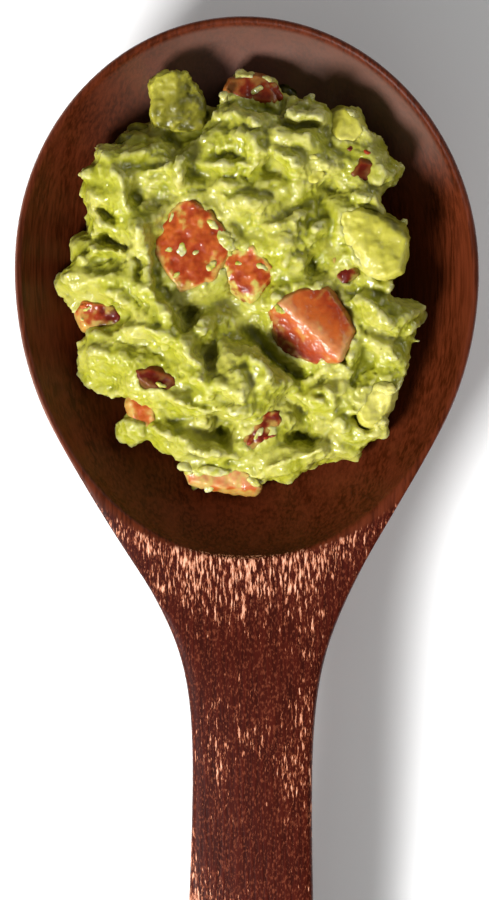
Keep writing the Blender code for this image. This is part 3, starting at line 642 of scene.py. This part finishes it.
def ragged_relief(points, normals):
    """Small ledges and ridges 1 to 2 mm apart, with calmer stretches between them."""
    along = smear_direction(points, normals)
    where = points + wandering(points, 2.6 * MM, 31) * (0.8 * MM)
    busy = shelf(perlin(points, 5.5 * MM, 32), 0.0, 0.3, 0.0)
    height = (0.03 + 0.17 * busy) * shelf(smeared(where, along, 1.7 * MM, 0.9 * MM, 33), 0.0, 0.25, 0.4)
    height += (0.03 + 0.11 * busy) * crest(smeared(where, along, 1.5 * MM, 0.8 * MM, 34), 2.2) ** 1.6
    height += (0.05 + 0.12 * busy) * perlin(points, 1.1 * MM, 37)
    height += 0.7 * np.clip(perlin(points, 1.3 * MM, 35) - 0.45, 0.0, 1.0)
    side = wandering(points, 1.3 * MM, 36) * (0.14 * MM)
    return points + normals * ((height - 0.15) * calmness(points) * MM)[:, None] + side


def grainy_relief(points, normals):
    """Wet grains under a millimetre, only where the mash is coarse."""
    busy = shelf(perlin(points, 3.0 * MM, 41), 0.0, 0.25, 0.0)
    height = (0.05 + 0.1 * busy) * crest(perlin(points, 0.9 * MM, 42), 2.0)
    height += (0.09 + 0.09 * busy) * perlin(points, 0.7 * MM, 43)
    return points + normals * (height * MM)[:, None]


def calmness(points):
    """1 on the open heap, less in the smooth hollows."""
    x, y = points[:, 0] / MM, points[:, 1] / MM
    calm = np.ones(len(points))
    for centre_x, centre_y, long, wide, turn, depth in HOLLOWS.values():
        away = np.hypot((x - centre_x) / (1.3 * long), (y - centre_y) / (1.3 * wide))
        calm -= 0.55 * np.exp(-away ** 4)
    return calm.clip(0.35)


def relieve(obj, relief):
    move_points(obj, relief(points_of(obj), normals_of(obj)))


def keep_inside_bowl(obj, tree):
    """Lifts a piece off the wood, and returns which of its points lie on it."""
    points = points_of(obj)
    lying = np.zeros(len(points), dtype=bool)
    for index, (x, y, z) in enumerate(points):
        floor = drape_height(tree, x, y)
        if floor is not None and z < floor + RESTING_GAP:
            points[index, 2] = floor + RESTING_GAP
            lying[index] = True
    move_points(obj, points)
    return lying


def thin_out_underside(obj, lying):
    """Drops points where the mash lies on the wood, so that the piece stays light."""
    underneath = np.nonzero(lying | (normals_of(obj)[:, 2] < -0.3))[0]
    group = obj.vertex_groups.new(name="underside")
    group.add(underneath.tolist(), 1.0, "REPLACE")
    triangles = len(obj.data.loops) - 2 * len(obj.data.polygons)
    apply_modifier(obj, "DECIMATE", ratio=MOST_TRIANGLES / triangles, vertex_group=group.name,
                   vertex_group_factor=1000.0)
    obj.vertex_groups.clear()
    print("mash triangles", triangles, "then", len(obj.data.loops) - 2 * len(obj.data.polygons))


def tree_of(*names):
    """A search tree of CAD nodes, to find their surface from above."""
    corners, faces = [], []
    for name in names:
        mesh = NODES[name].data
        start = len(corners)
        corners += [vertex.co.copy() for vertex in mesh.vertices]
        faces += [[start + corner for corner in polygon.vertices] for polygon in mesh.polygons]
    return BVHTree.FromPolygons(corners, faces)


def tree_of_pieces():
    """A search tree of every finished piece."""
    corners, faces = [], []
    for obj in bpy.data.objects:
        if obj.get("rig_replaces"):
            start = len(corners)
            corners += [vertex.co.copy() for vertex in obj.data.vertices]
            faces += [[start + corner for corner in polygon.vertices] for polygon in obj.data.polygons]
    return BVHTree.FromPolygons(corners, faces)


def heap_with_chunks():
    """The CAD heap with its sockets closed: every chunk, a little swollen, is added and melted in."""
    heap = copy_of("guacamole", "guacamole_mash")
    filled = bmesh.new()
    filled.from_mesh(heap.data)
    for name in CHUNKS:
        chunk = bmesh.new()
        chunk.from_mesh(NODES[name].data)
        bmesh.ops.remove_doubles(chunk, verts=chunk.verts, dist=0.002 * MM)
        for vertex in chunk.verts:
            vertex.co += vertex.normal * SOCKET_FILL
        swollen = bpy.data.meshes.new("swollen")
        chunk.to_mesh(swollen)
        chunk.free()
        filled.from_mesh(swollen)
        bpy.data.meshes.remove(swollen)
    filled.to_mesh(heap.data)
    filled.free()
    return heap


def sunk_under_chunks(points):
    """Draws the melted-in chunks' surface inwards, so that the mash ends just under each chunk."""
    moved = points.copy()
    for name in CHUNKS:
        low, high = (np.array(corner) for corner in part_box(name))
        middle = (low + high) / 2
        near = np.all((points > low - 1.0 * MM) & (points < high + 2.5 * MM), axis=1)
        tree = tree_of(name)
        for index in np.nonzero(near)[0]:
            point = Vector(points[index])
            found, outward, _, away = tree.find_nearest(point)
            inside = (point - found).dot(outward) < 0.0
            over = abs(point.x - found.x) + abs(point.y - found.y) < 0.5 * MM and point.z > found.z
            if inside or away < 0.5 * MM or (over and away < 2.0 * MM):
                inward = Vector(middle) - found
                moved[index] = found + inward.normalized() * SUNK_BY
    return moved


def embedded(points, normals):
    """Draws the mash up to each chunk, a little over its edge in places, and down below its middle."""
    ragged = 0.8 * perlin(points, 2.5 * MM, 61) + 0.3 * perlin(points, 1.0 * MM, 62)
    height = points[:, 2].copy()
    for name, (outline, planes) in SHAPES.items():
        if name in STANDING_FREE:
            continue
        away = away_from(points, outline)
        top = top_and_tone(points, planes)[0]
        near = (away < 3.8) & (height > top - 7.0 * MM) & (normals[:, 2] > -0.1)
        reach = WANDERING.get(name, SMALL_WANDERING)
        covering = smooth_step(-0.6, 0.0, away - reach * ragged)
        wanted = top + (0.15 + 0.1 * reach + 0.4 * ragged - 0.65 * away.clip(0.0)) * MM
        short = (wanted - height).clip(0.0)
        short *= (1.0 - smooth_step(1.5, 3.8, away)) * (1.0 - smooth_step(4.5 * MM, 7.0 * MM, short))
        pressed = np.minimum(height, top - (0.4 + 0.5 * (-away).clip(0.0, 2.0)) * MM)
        closed = pressed + (height + short - pressed) * covering
        height = np.where(near, closed, height)
    moved = points.copy()
    moved[:, 2] = height
    return moved


def build_mash():
    mash = heap_with_chunks()
    apply_modifier(mash, "REMESH", mode="VOXEL", voxel_size=0.42 * MM)
    apply_modifier(mash, "SMOOTH", factor=0.5, iterations=8)
    move_points(mash, sunk_under_chunks(points_of(mash)))
    relieve(mash, edge_pulled)
    relieve(mash, sculpted)
    relieve(mash, torn_relief)
    relieve(mash, embedded)

    everything = tree_of("guacamole", *CHUNKS)
    beads = bmesh.new()
    beads.from_mesh(mash.data)
    add_tongues(beads, TONGUES, everything, 0.35)
    add_tongues(beads, TIPS, everything, 0.1)
    beads.to_mesh(mash.data)
    beads.free()
    apply_modifier(mash, "REMESH", mode="VOXEL", voxel_size=0.34 * MM)
    relieve(mash, ragged_relief)
    apply_modifier(mash, "REMESH", mode="VOXEL", voxel_size=0.28 * MM)
    relieve(mash, grainy_relief)

    thin_out_underside(mash, keep_inside_bowl(mash, tree_of("wooden_spoon")))
    points = points_of(mash)
    calm = relaxed(mash, points, 30)
    raised = np.einsum("ij,ij->i", points - calm, normals_of(mash)) / MM
    # This measure tones the mash: partly its own paler crests and greener hollows, partly painted shade in the
    # hollows and painted highlight on the crests.
    store(mash, "raised", 0.5 + 0.8 * raised)
    mash.data.shade_smooth()
    mash.data.materials.append(mash_material())
    finish_piece(mash, ["guacamole"])
    return mash


def mash_material():
    made, graph, shader = new_material(
        "Mashed avocado", Roughness=0.5, Subsurface_Weight=0.5, Subsurface_Scale=0.9 * MM,
        Subsurface_Radius=(1.0, 0.85, 0.16), Coat_Weight=0.6, Coat_Roughness=0.08, IOR=1.3)
    where = graph.place()
    raised = graph.attribute("raised")
    deep = colour(116, 118, 12)
    flesh = colour(155, 154, 36)
    pale = colour(193, 188, 148)
    patches = graph.ramp(graph.noise(where, 5.0 * MM, detail=3.0), 0.4, 0.66)
    # Deeper green in hollows and paler on crests: partly the mash's own colour, partly painted shade and painted
    # highlight.
    body = graph.blend(graph.ramp(raised, 0.2, 0.6), deep, flesh)
    body = graph.blend(graph.ramp(raised, 0.5, 1.0, 0.0, 0.7), body, pale)
    body = graph.blend(graph.maths("MULTIPLY", patches, 0.5), body, colour(180, 173, 92))
    graph.feed(shader.inputs["Base Color"], body)
    grain = graph.noise(where, 0.65 * MM, detail=1.0, roughness=0.5)
    graph.feed(shader.inputs["Normal"], graph.bump(grain, 0.07 * MM))
    graph.feed(shader.inputs["Coat Normal"], graph.bump(grain, 0.26 * MM))
    return made


# ---- Chunks ------------------------------------------------------------------------------
def cut_block(name, outline, planes, bottom, margin):
    """A block cut by hand: a cube at its place, cut along the outline's sides and the top's planes."""
    across, along = zip(*outline)
    top = max(row[2] for row in planes) + 2.0
    low = Vector((min(across) - 1.0, min(along) - 1.0, bottom))
    high = Vector((max(across) + 1.0, max(along) + 1.0, top))
    deselect_all()
    bpy.ops.mesh.primitive_cube_add(size=1.0, location=(low + high) / 2 * MM, scale=(high - low) * MM)
    block = bpy.context.object
    block.name = name
    bpy.ops.object.transform_apply(location=True, rotation=True, scale=True)
    bpy.ops.object.mode_set(mode="EDIT")
    cuts = [(Vector((*start, 0.0)), Vector((end[1] - start[1], start[0] - end[0], 0.0)), margin)
            for start, end in zip(outline, outline[1:] + outline[:1])]
    cuts += [(Vector(row[:3]), Vector((-row[3], -row[4], 1.0)), 0.0) for row in planes]
    for place, outward, beyond in cuts:
        outward.normalize()
        bpy.ops.mesh.select_all(action="SELECT")
        bpy.ops.mesh.bisect(plane_co=(place + outward * beyond) * MM, plane_no=outward,
                            use_fill=True, clear_outer=True)
    bpy.ops.object.mode_set(mode="OBJECT")
    return block


def build_chunk(name, material, roundness, wobble, grain, smear, mottled, softness=0.0):
    """A cut block with soft corners, the uneven faces of wet flesh, and mash smeared on its edges."""
    outline, planes = SHAPES[name]
    margin = BURIED_EDGE if name in BURIED else COVERED_EDGE
    margin = 0.0 if name in STANDING_FREE else margin
    chunk = cut_block(name + "_piece", outline, planes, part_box(name)[0].z / MM + 0.3, margin)
    apply_modifier(chunk, "BEVEL", width=roundness * MM, segments=2, limit_method="ANGLE")
    apply_modifier(chunk, "REMESH", mode="VOXEL", voxel_size=0.22 * MM)
    apply_modifier(chunk, "SMOOTH", factor=0.5, iterations=3)
    seed = sum(ord(letter) for letter in name)

    def uneven(points, normals):
        height = wobble * perlin(points, 2.6 * MM, seed) + grain * perlin(points, 1.0 * MM, seed + 1)
        height += 0.5 * grain * perlin(points, 0.5 * MM, seed + 2)
        return points + normals * (height * MM)[:, None]

    relieve(chunk, uneven)
    points = points_of(chunk)
    points += softness * (ragged_relief(points, normals_of(chunk)) - points)
    if name not in STANDING_FREE:
        points[:, 2] -= UNDER_MASH * away_from(points, outline).clip(0.0) * MM
    move_points(chunk, points)
    keep_inside_bowl(chunk, tree_of("wooden_spoon"))
    points = points_of(chunk)
    tone = relaxed(chunk, np.repeat(top_and_tone(points, planes)[1][:, None], 3, axis=1), 8)[:, 0]
    raised = np.einsum("ij,ij->i", points - relaxed(chunk, points, 16), normals_of(chunk)) / MM
    patchy = perlin(points, 1.7 * MM, seed + 3) + 0.6 * perlin(points, 0.7 * MM, seed + 4)
    edge = smooth_step(-0.8, 0.3, away_from(points, outline) + 1.5 * patchy)
    # The raised term makes the tone deeper in dips and paler on bumps: painted shade and painted highlight, on top
    # of the planes' tones.
    store(chunk, "tone", (tone + mottled * patchy + (0.8 - 0.8 * softness) * raised).clip(0.0, 1.0))
    store(chunk, "smear", smear * np.maximum(edge, smooth_step(0.55, 0.95, patchy + raised)))
    chunk.data.shade_smooth()
    chunk.data.materials.append(material)
    finish_piece(chunk, [name])
    return chunk


def toned(graph, colours):
    """The colour for the tone attribute, through evenly spaced colours from deepest to palest."""
    tone = graph.attribute("tone")
    mixed = colours[0]
    for index, paler in enumerate(colours[1:]):
        low = index / (len(colours) - 1)
        high = (index + 1) / (len(colours) - 1)
        mixed = graph.blend(graph.ramp(tone, low, high), mixed, paler)
    return mixed


def smeared_flesh_group():
    """Where mash is smeared on a chunk, and the fine grain of its flesh."""
    tree = bpy.data.node_groups.new("Smeared flesh", "ShaderNodeTree")
    for name in ("Smear", "Fine"):
        tree.interface.new_socket(name, in_out="OUTPUT", socket_type="NodeSocketFloat")
    graph = Graph(tree)
    out = graph.node("NodeGroupOutput")
    where = graph.place()
    patchy = graph.ramp(graph.noise(where, 0.8 * MM, detail=4.0), 0.35, 0.6, 0.55, 1.0)
    graph.feed(out.inputs["Smear"], graph.maths("MULTIPLY", graph.attribute("smear"), patchy))
    graph.feed(out.inputs["Fine"], graph.noise(where, 0.7 * MM, detail=1.0))
    return tree


def flesh_material(name, flesh, colours, smear_colour, grain, **settings):
    made, graph, shader = new_material(name, **settings)
    surface = graph.node("ShaderNodeGroup", node_tree=flesh)
    tone = toned(graph, colours)
    graph.feed(shader.inputs["Base Color"], graph.blend(surface.outputs["Smear"], tone, smear_colour))
    graph.feed(shader.inputs["Normal"], graph.bump(surface.outputs["Fine"], grain * MM))
    wet = graph.noise(graph.place(), 0.7 * MM, detail=1.0)
    graph.feed(shader.inputs["Coat Normal"], graph.bump(wet, 2.5 * grain * MM))
    return made


def build_crumbs(name, rows, material, replaced, ground, seed):
    """Small lumps laid on the pieces below: (x, y, half length, half width, turn, half height, tone)."""
    chance = random.Random(seed)
    crumbs = bmesh.new()
    tones = []
    for x, y, long, wide, turn, high, tone in rows:
        floor = drape_height(ground, x * MM, y * MM)
        if floor is None:
            continue
        size = Matrix.Diagonal((long * MM, wide * MM, high * MM, 1.0))
        lie = Matrix.Rotation(math.radians(turn), 4, "Z") @ Matrix.Rotation(chance.uniform(-0.2, 0.2), 4, "X")
        place = Matrix.Translation((x * MM, y * MM, floor - 0.3 * high * MM))
        made = bmesh.ops.create_icosphere(crumbs, subdivisions=4, radius=1.0, matrix=place @ lie @ size)
        tones += [tone] * len(made["verts"])
    mesh = bpy.data.meshes.new(name)
    crumbs.to_mesh(mesh)
    crumbs.free()
    obj = bpy.data.objects.new(name, mesh)
    bpy.context.scene.collection.objects.link(obj)
    points, normals = points_of(obj), normals_of(obj)
    bumps = 0.22 * perlin(points, 1.1 * MM, seed) + 0.10 * perlin(points, 0.5 * MM, seed + 1)
    move_points(obj, points + normals * (bumps * MM)[:, None])
    keep_inside_bowl(obj, tree_of("wooden_spoon"))
    raised = 0.75 + 0.5 * perlin(points, 0.9 * MM, seed + 2)
    store(obj, "raised", raised)
    store(obj, "tone", (np.array(tones) + 0.3 * (raised - 0.75)).clip(0.0, 1.0))
    store(obj, "smear", 0.3 * smooth_step(0.3, 0.6, perlin(points, 1.0 * MM, seed + 3)))
    mesh.shade_smooth()
    mesh.materials.append(material)
    finish_piece(obj, [replaced])
    return obj


SCRAPS_OF_MASH = [
    (-8.5, 2.6, 0.95, 0.65, 100, 0.35, 0.5), (-10.1, 2.5, 0.55, 0.3, 20, 0.2, 0.5),
    (-6.3, 2.3, 0.7, 0.35, 20, 0.2, 0.5), (-9.2, -0.7, 0.6, 0.3, 30, 0.2, 0.5),
    (-4.6, 0.4, 0.9, 0.4, 45, 0.25, 0.5), (-9.7, 6.9, 0.8, 0.25, 65, 0.2, 0.5),
    (-4.4, 5.7, 0.9, 0.35, -40, 0.3, 0.5), (-2.7, 3.7, 1.7, 0.9, -55, 0.45, 0.5),
    (4.3, -5.2, 0.8, 0.5, -35, 0.3, 0.5), (-1.0, 0.8, 0.7, 0.35, 10, 0.2, 0.5),
    (1.8, 0.4, 1.0, 0.3, -30, 0.25, 0.5), (1.3, 23.4, 0.9, 0.4, 30, 0.25, 0.5),
    (-20.8, -5.0, 0.7, 0.3, 20, 0.25, 0.5), (-4.4, -26.2, 2.2, 0.6, -6, 0.5, 0.5),
    (-7.4, -26.3, 0.8, 0.4, 10, 0.3, 0.5), (0.9, -27.5, 1.0, 0.5, -30, 0.4, 0.5),
    (-6.9, -28.4, 0.4, 0.5, 0, 0.35, 0.5), (-11.2, -15.0, 0.8, 0.25, -20, 0.25, 0.5),
    (1.5, -21.3, 1.1, 0.35, 52, 0.35, 0.5),
]
BITS_OF_TOMATO = [
    (13.3, 15.7, 0.85, 0.4, -10, 0.35, 0.12), (15.6, 15.2, 0.5, 0.3, -30, 0.25, 0.3),
    (17.6, 9.5, 0.35, 0.8, 10, 0.4, 0.05), (-21.2, -4.7, 0.6, 0.4, 0, 0.25, 0.65),
    (0.2, -22.6, 1.3, 0.28, 52, 0.3, 0.15), (2.9, -21.7, 1.0, 0.22, 12, 0.25, 0.2), (3.6, 23.4, 1.5, 0.7, -58, 0.5, 0.2),
]
FLAKES_OF_AVOCADO = [
    (8.8, 12.3, 1.25, 1.15, 0, 0.35, 0.75), (8.4, 14.4, 0.8, 0.28, -15, 0.2, 0.9),
    (18.1, -15.5, 1.15, 0.75, -8, 0.7, 1.0),
    (-14.2, 18.6, 1.6, 0.8, -6, 0.7, 0.25), (-15.9, 17.2, 1.4, 0.7, 20, 0.7, 0.2),
    (5.2, 23.4, 1.6, 1.0, -35, 0.9, 0.05),
]


def build_chunks():
    smear = colour(180, 172, 84)
    flesh = smeared_flesh_group()
    tomato = flesh_material(
        "Tomato flesh", flesh, [colour(86, 16, 3), colour(136, 46, 12), colour(168, 80, 28), colour(184, 126, 80)],
        smear, 0.065, Roughness=0.4, Subsurface_Weight=0.25, Subsurface_Scale=0.9 * MM,
        Subsurface_Radius=(1.0, 0.35, 0.12), Coat_Weight=0.25, Coat_Roughness=0.06, IOR=1.25)
    onion = flesh_material(
        "Red onion", flesh, [colour(66, 12, 4), colour(108, 28, 9), colour(150, 70, 40)],
        smear, 0.04, Roughness=0.4, Subsurface_Weight=0.2, Subsurface_Scale=0.7 * MM,
        Subsurface_Radius=(1.0, 0.3, 0.2), Coat_Weight=0.08, Coat_Roughness=0.05, IOR=1.15)
    avocado = flesh_material(
        "Avocado flesh", flesh,
        [colour(58, 57, 5), colour(122, 116, 30), colour(172, 166, 60), colour(196, 189, 106)],
        colour(166, 160, 58), 0.05, Roughness=0.45, Subsurface_Weight=0.35, Subsurface_Scale=1.0 * MM,
        Subsurface_Radius=(1.0, 0.85, 0.2), Coat_Weight=0.15, Coat_Roughness=0.12, IOR=1.3)
    for name in TOMATOES:
        if name == "tomato_seeded":
            build_chunk(name, tomato, 0.3, 0.2, 0.12, 0.6, 0.2)
        elif name == "tomato_pulp":
            build_chunk(name, tomato, 0.3, 0.2, 0.12, 1.0, 0.3)
        elif name == "tomato_dice":
            build_chunk(name, tomato, 1.3, 0.14, 0.07, 0.25, 0.08)
        elif name == "tomato_top":
            build_chunk(name, tomato, 0.3, 0.14, 0.08, 0.2, 0.12)
        else:
            build_chunk(name, tomato, 0.3, 0.2, 0.12, 0.55, 0.2)
    for name in ONIONS:
        build_chunk(name, onion, 0.3, 0.12, 0.08, 0.1, 0.15)
    for name in AVOCADOS:
        softness = 0.75 if name in STANDING_FREE else 0.5
        build_chunk(name, avocado, 1.2, 0.4, 0.12, 0.5, 0.08, softness)
    ground = tree_of_pieces()
    mash = bpy.data.materials["Mashed avocado"]
    build_crumbs("mash_scraps", SCRAPS_OF_MASH, mash, "guacamole", ground, 71)
    build_crumbs("tomato_bits", BITS_OF_TOMATO, tomato, "tomato_corner", ground, 72)
    build_crumbs("avocado_flakes", FLAKES_OF_AVOCADO, avocado, "avocado_right", ground, 73)


# ---- The spoon ---------------------------------------------------------------------------
CAVITY_CENTRE_Y = -7.7        # of the arc that ends the bowl towards the handle, in mm
CAVITY_RADIUS = 29.5
# Patches worn by use: (x, y, half width, half length, how worn).
WORN_PATCHES = [
    (-5.5, -39.6, 6.5, 3.4, 0.38), (3.0, -39.4, 5.0, 3.0, 0.22), (-3.0, -44.5, 6.0, 4.0, 0.12),
    (8.0, -44.0, 3.0, 7.0, 0.12), (0.0, -60.0, 3.5, 4.0, 0.14), (5.2, -66.0, 2.0, 5.0, 0.2),
    (-5.0, -62.0, 3.0, 6.0, 0.1), (-3.6, -67.0, 1.2, 7.0, 0.12), (7.5, -58.0, 2.2, 12.0, 0.14),
    (-8.2, -78.0, 2.0, 7.0, 0.3), (-4.0, -82.0, 4.0, 3.0, 0.16), (9.0, -70.0, 2.0, 12.0, 0.12),
    (-7.0, -104.0, 2.0, 9.0, 0.16), (4.0, -118.0, 3.0, 8.0, 0.14), (-2.0, -140.0, 4.0, 7.0, 0.16),
]


def wood_grain_group():
    """Grain, speckle and worn flecks of stained wood, all running along Y."""
    tree = bpy.data.node_groups.new("Wood grain", "ShaderNodeTree")
    for name in ("Grain", "Broad", "Speckle", "Flecks"):
        tree.interface.new_socket(name, in_out="OUTPUT", socket_type="NodeSocketFloat")
    graph = Graph(tree)
    out = graph.node("NodeGroupOutput")
    fine = graph.noise(graph.place((1.0, 0.06, 1.0)), 0.4 * MM, detail=4.0, distortion=0.2)
    graph.feed(out.inputs["Grain"], fine)
    graph.feed(out.inputs["Broad"], graph.noise(graph.place((1.0, 0.12, 1.0)), 3.4 * MM, detail=3.0))
    dots = graph.noise(graph.place((1.0, 0.42, 1.0)), 0.24 * MM, detail=2.0, roughness=0.6)
    graph.feed(out.inputs["Speckle"], dots)
    flecks = graph.noise(graph.place((1.0, 0.16, 1.0)), 0.27 * MM, detail=3.0, roughness=0.65)
    graph.feed(out.inputs["Flecks"], flecks)
    return tree


def worn_share(points):
    """How worn the stain is at each point: under the bowl's end, in patches, and along the handle."""
    x, y = points[:, 0] / MM, points[:, 1] / MM
    below = np.hypot(x, y - CAVITY_CENTRE_Y) - CAVITY_RADIUS
    drift = perlin(points, 5.0 * MM, 81)
    band = smooth_step(-0.2, 0.6, below) * (1.0 - smooth_step(0.6, 4.2 + 2.0 * drift, below))
    worn = 0.42 * band * (y < -14.0) * (1.0 - 0.45 * smooth_step(11.0, 17.0, np.abs(x)))
    worn += 0.14 * (y < -14.0) * smooth_step(-0.2, 0.6, below) * (1.0 - smooth_step(4.0, 12.0, below))
    for centre_x, centre_y, wide, long, share in WORN_PATCHES:
        away = ((x - centre_x) / wide) ** 2 + ((y - centre_y) / long) ** 2
        worn += 2.0 * share * np.exp(-away) * (below > 0.0)
    return 0.38 * worn.clip(0.0, 0.46) + 0.04 * drift * (below > 0.0)


def build_spoon():
    spoon = copy_of("wooden_spoon", "carved_spoon")
    bpy.ops.object.mode_set(mode="EDIT")
    bpy.ops.mesh.select_all(action="SELECT")
    bpy.ops.mesh.tris_convert_to_quads(face_threshold=math.pi, shape_threshold=math.pi)
    bpy.ops.object.mode_set(mode="OBJECT")
    apply_modifier(spoon, "SUBSURF", levels=2, render_levels=2)
    points = points_of(spoon)
    points[:, 2] = points[:, 2].clip(0.0)
    move_points(spoon, points)

    points, normals = points_of(spoon), normals_of(spoon)
    x, y = points[:, 0] / MM, points[:, 1] / MM
    sharp = np.einsum("ij,ij->i", points - relaxed(spoon, points, 10), normals) / MM
    edge = smooth_step(0.03, 0.16, sharp)
    handle = 1.0 - smooth_step(-37.5, -35.5, y)
    rim = edge * (1.0 - handle)
    store(spoon, "worn", worn_share(points) + 0.26 * edge * handle)
    store(spoon, "edge", edge)
    store(spoon, "pale_rim", rim * (1.0 - smooth_step(-26.0, -8.0, x)))
    store(spoon, "outside", np.maximum(handle, smooth_step(0.0, 0.8, np.hypot(x, y - CAVITY_CENTRE_Y)
                                                           - CAVITY_RADIUS) * (y < -14.0)))
    # Where the far inner wall faces the handle, below the rim: a glossier coat there, and a painted reflection of
    # the front light in its colour.
    facing_handle = smooth_step(0.1, 0.5, -normals[:, 1]) * smooth_step(8.0, 18.0, y)
    below_rim = smooth_step(0.3 * MM, 1.2 * MM, RIM_Z - points[:, 2])
    store(spoon, "coat_and_painted_sheen", facing_handle * below_rim * (normals[:, 2] > 0.0) * smooth_step(-24.0, -6.0, x))
    spoon.data.shade_smooth()
    spoon.data.materials.append(wood_material())
    finish_piece(spoon, ["wooden_spoon"])
    return spoon


def wood_material():
    made, graph, shader = new_material("Stained wood", Roughness=0.42, Specular_IOR_Level=0.1,
                                       Coat_Roughness=0.38, Coat_IOR=1.6)
    grain = graph.node("ShaderNodeGroup", node_tree=wood_grain_group())
    fine, broad, speckle, flecks = (grain.outputs[n] for n in ("Grain", "Broad", "Speckle", "Flecks"))
    outside = graph.attribute("outside")
    bowl = graph.blend(graph.ramp(fine, 0.35, 0.65), colour(54, 17, 2), colour(84, 34, 14))
    bowl = graph.blend(graph.maths("MULTIPLY", graph.ramp(broad, 0.4, 0.68), 0.5), bowl, colour(94, 40, 20))
    stick = graph.blend(graph.ramp(fine, 0.3, 0.7), colour(42, 6, 1), colour(64, 16, 6))
    stick = graph.blend(graph.maths("MULTIPLY", graph.ramp(speckle, 0.5, 0.7), 0.55), stick, colour(124, 62, 40))
    stain = graph.blend(outside, bowl, stick)
    # Painted reflection: the far inner wall is blended towards a pale mauve grey, as if it mirrored the front
    # light.
    stain = graph.blend(graph.maths("MULTIPLY", graph.attribute("coat_and_painted_sheen"), 0.5), stain, colour(108, 82, 72))
    rim = graph.maths("MULTIPLY", graph.attribute("edge"), 0.7)
    stain = graph.blend(rim, stain, colour(122, 50, 28))
    stain = graph.blend(graph.maths("MULTIPLY", graph.attribute("pale_rim"), 0.8), stain, colour(222, 168, 146))
    wear = graph.maths("ADD", flecks, graph.attribute("worn"))
    tint = graph.blend(graph.ramp(wear, 0.70, 0.86), colour(158, 88, 58), colour(232, 176, 146))
    worn = graph.maths("MULTIPLY", graph.ramp(wear, 0.68, 0.73), outside)
    graph.feed(shader.inputs["Base Color"], graph.blend(worn, stain, tint))
    graph.feed(shader.inputs["Coat Weight"], graph.maths("MULTIPLY", graph.attribute("coat_and_painted_sheen"), 0.9))
    graph.feed(shader.inputs["Normal"], graph.bump(fine, 0.06 * MM))
    return made


# ---- Floor, light and camera -------------------------------------------------------------
def add_lamp(name, power, size, place):
    """A square soft light, turned towards the bowl."""
    light = bpy.data.lights.new(name, "AREA")
    light.energy = power
    light.size = size
    lamp = bpy.data.objects.new(name, light)
    bpy.context.scene.collection.objects.link(lamp)
    lamp.location = place
    aim = Vector((0.0, 0.0, 0.02)) - lamp.location
    lamp.rotation_euler = aim.to_track_quat("-Z", "Y").to_euler()


def build_studio():
    deselect_all()
    bpy.ops.mesh.primitive_plane_add(size=3.0, location=(0.0, 0.0, -0.02 * MM))
    floor = bpy.context.object
    floor.name = "floor"
    made, graph, shader = new_material("Pale floor", Roughness=0.9)
    shader.inputs["Base Color"].default_value = (0.9, 0.9, 0.9, 1.0)
    floor.data.materials.append(made)

    world = bpy.data.worlds.new("Studio")
    bpy.context.scene.world = world
    world.use_nodes = True
    sky = world.node_tree.nodes["Background"]
    sky.inputs["Color"].default_value = (1.0, 0.99, 0.97, 1.0)
    sky.inputs["Strength"].default_value = 0.16
    add_lamp("Key", 9.3, 0.22, (-0.36, -0.40, 0.46))
    add_lamp("Front", 4.5, 0.8, (0.05, -1.00, 0.24))
    add_lamp("Back", 3.0, 0.5, (0.70, 0.40, 0.60))

    lens = bpy.data.cameras.new("Camera")
    camera = bpy.data.objects.new("Camera", lens)
    bpy.context.scene.collection.objects.link(camera)
    distance, frame_height = 0.70, 0.117
    lens.lens = lens.sensor_width * distance / frame_height
    lens.clip_start, lens.clip_end = 0.01, 20.0
    camera.location = (-0.325 * MM, -23.45 * MM, RIM_Z + distance)
    bpy.context.scene.camera = camera
    bpy.context.scene.view_settings.view_transform = "Standard"


build_spoon()
build_mash()
build_chunks()
build_studio()
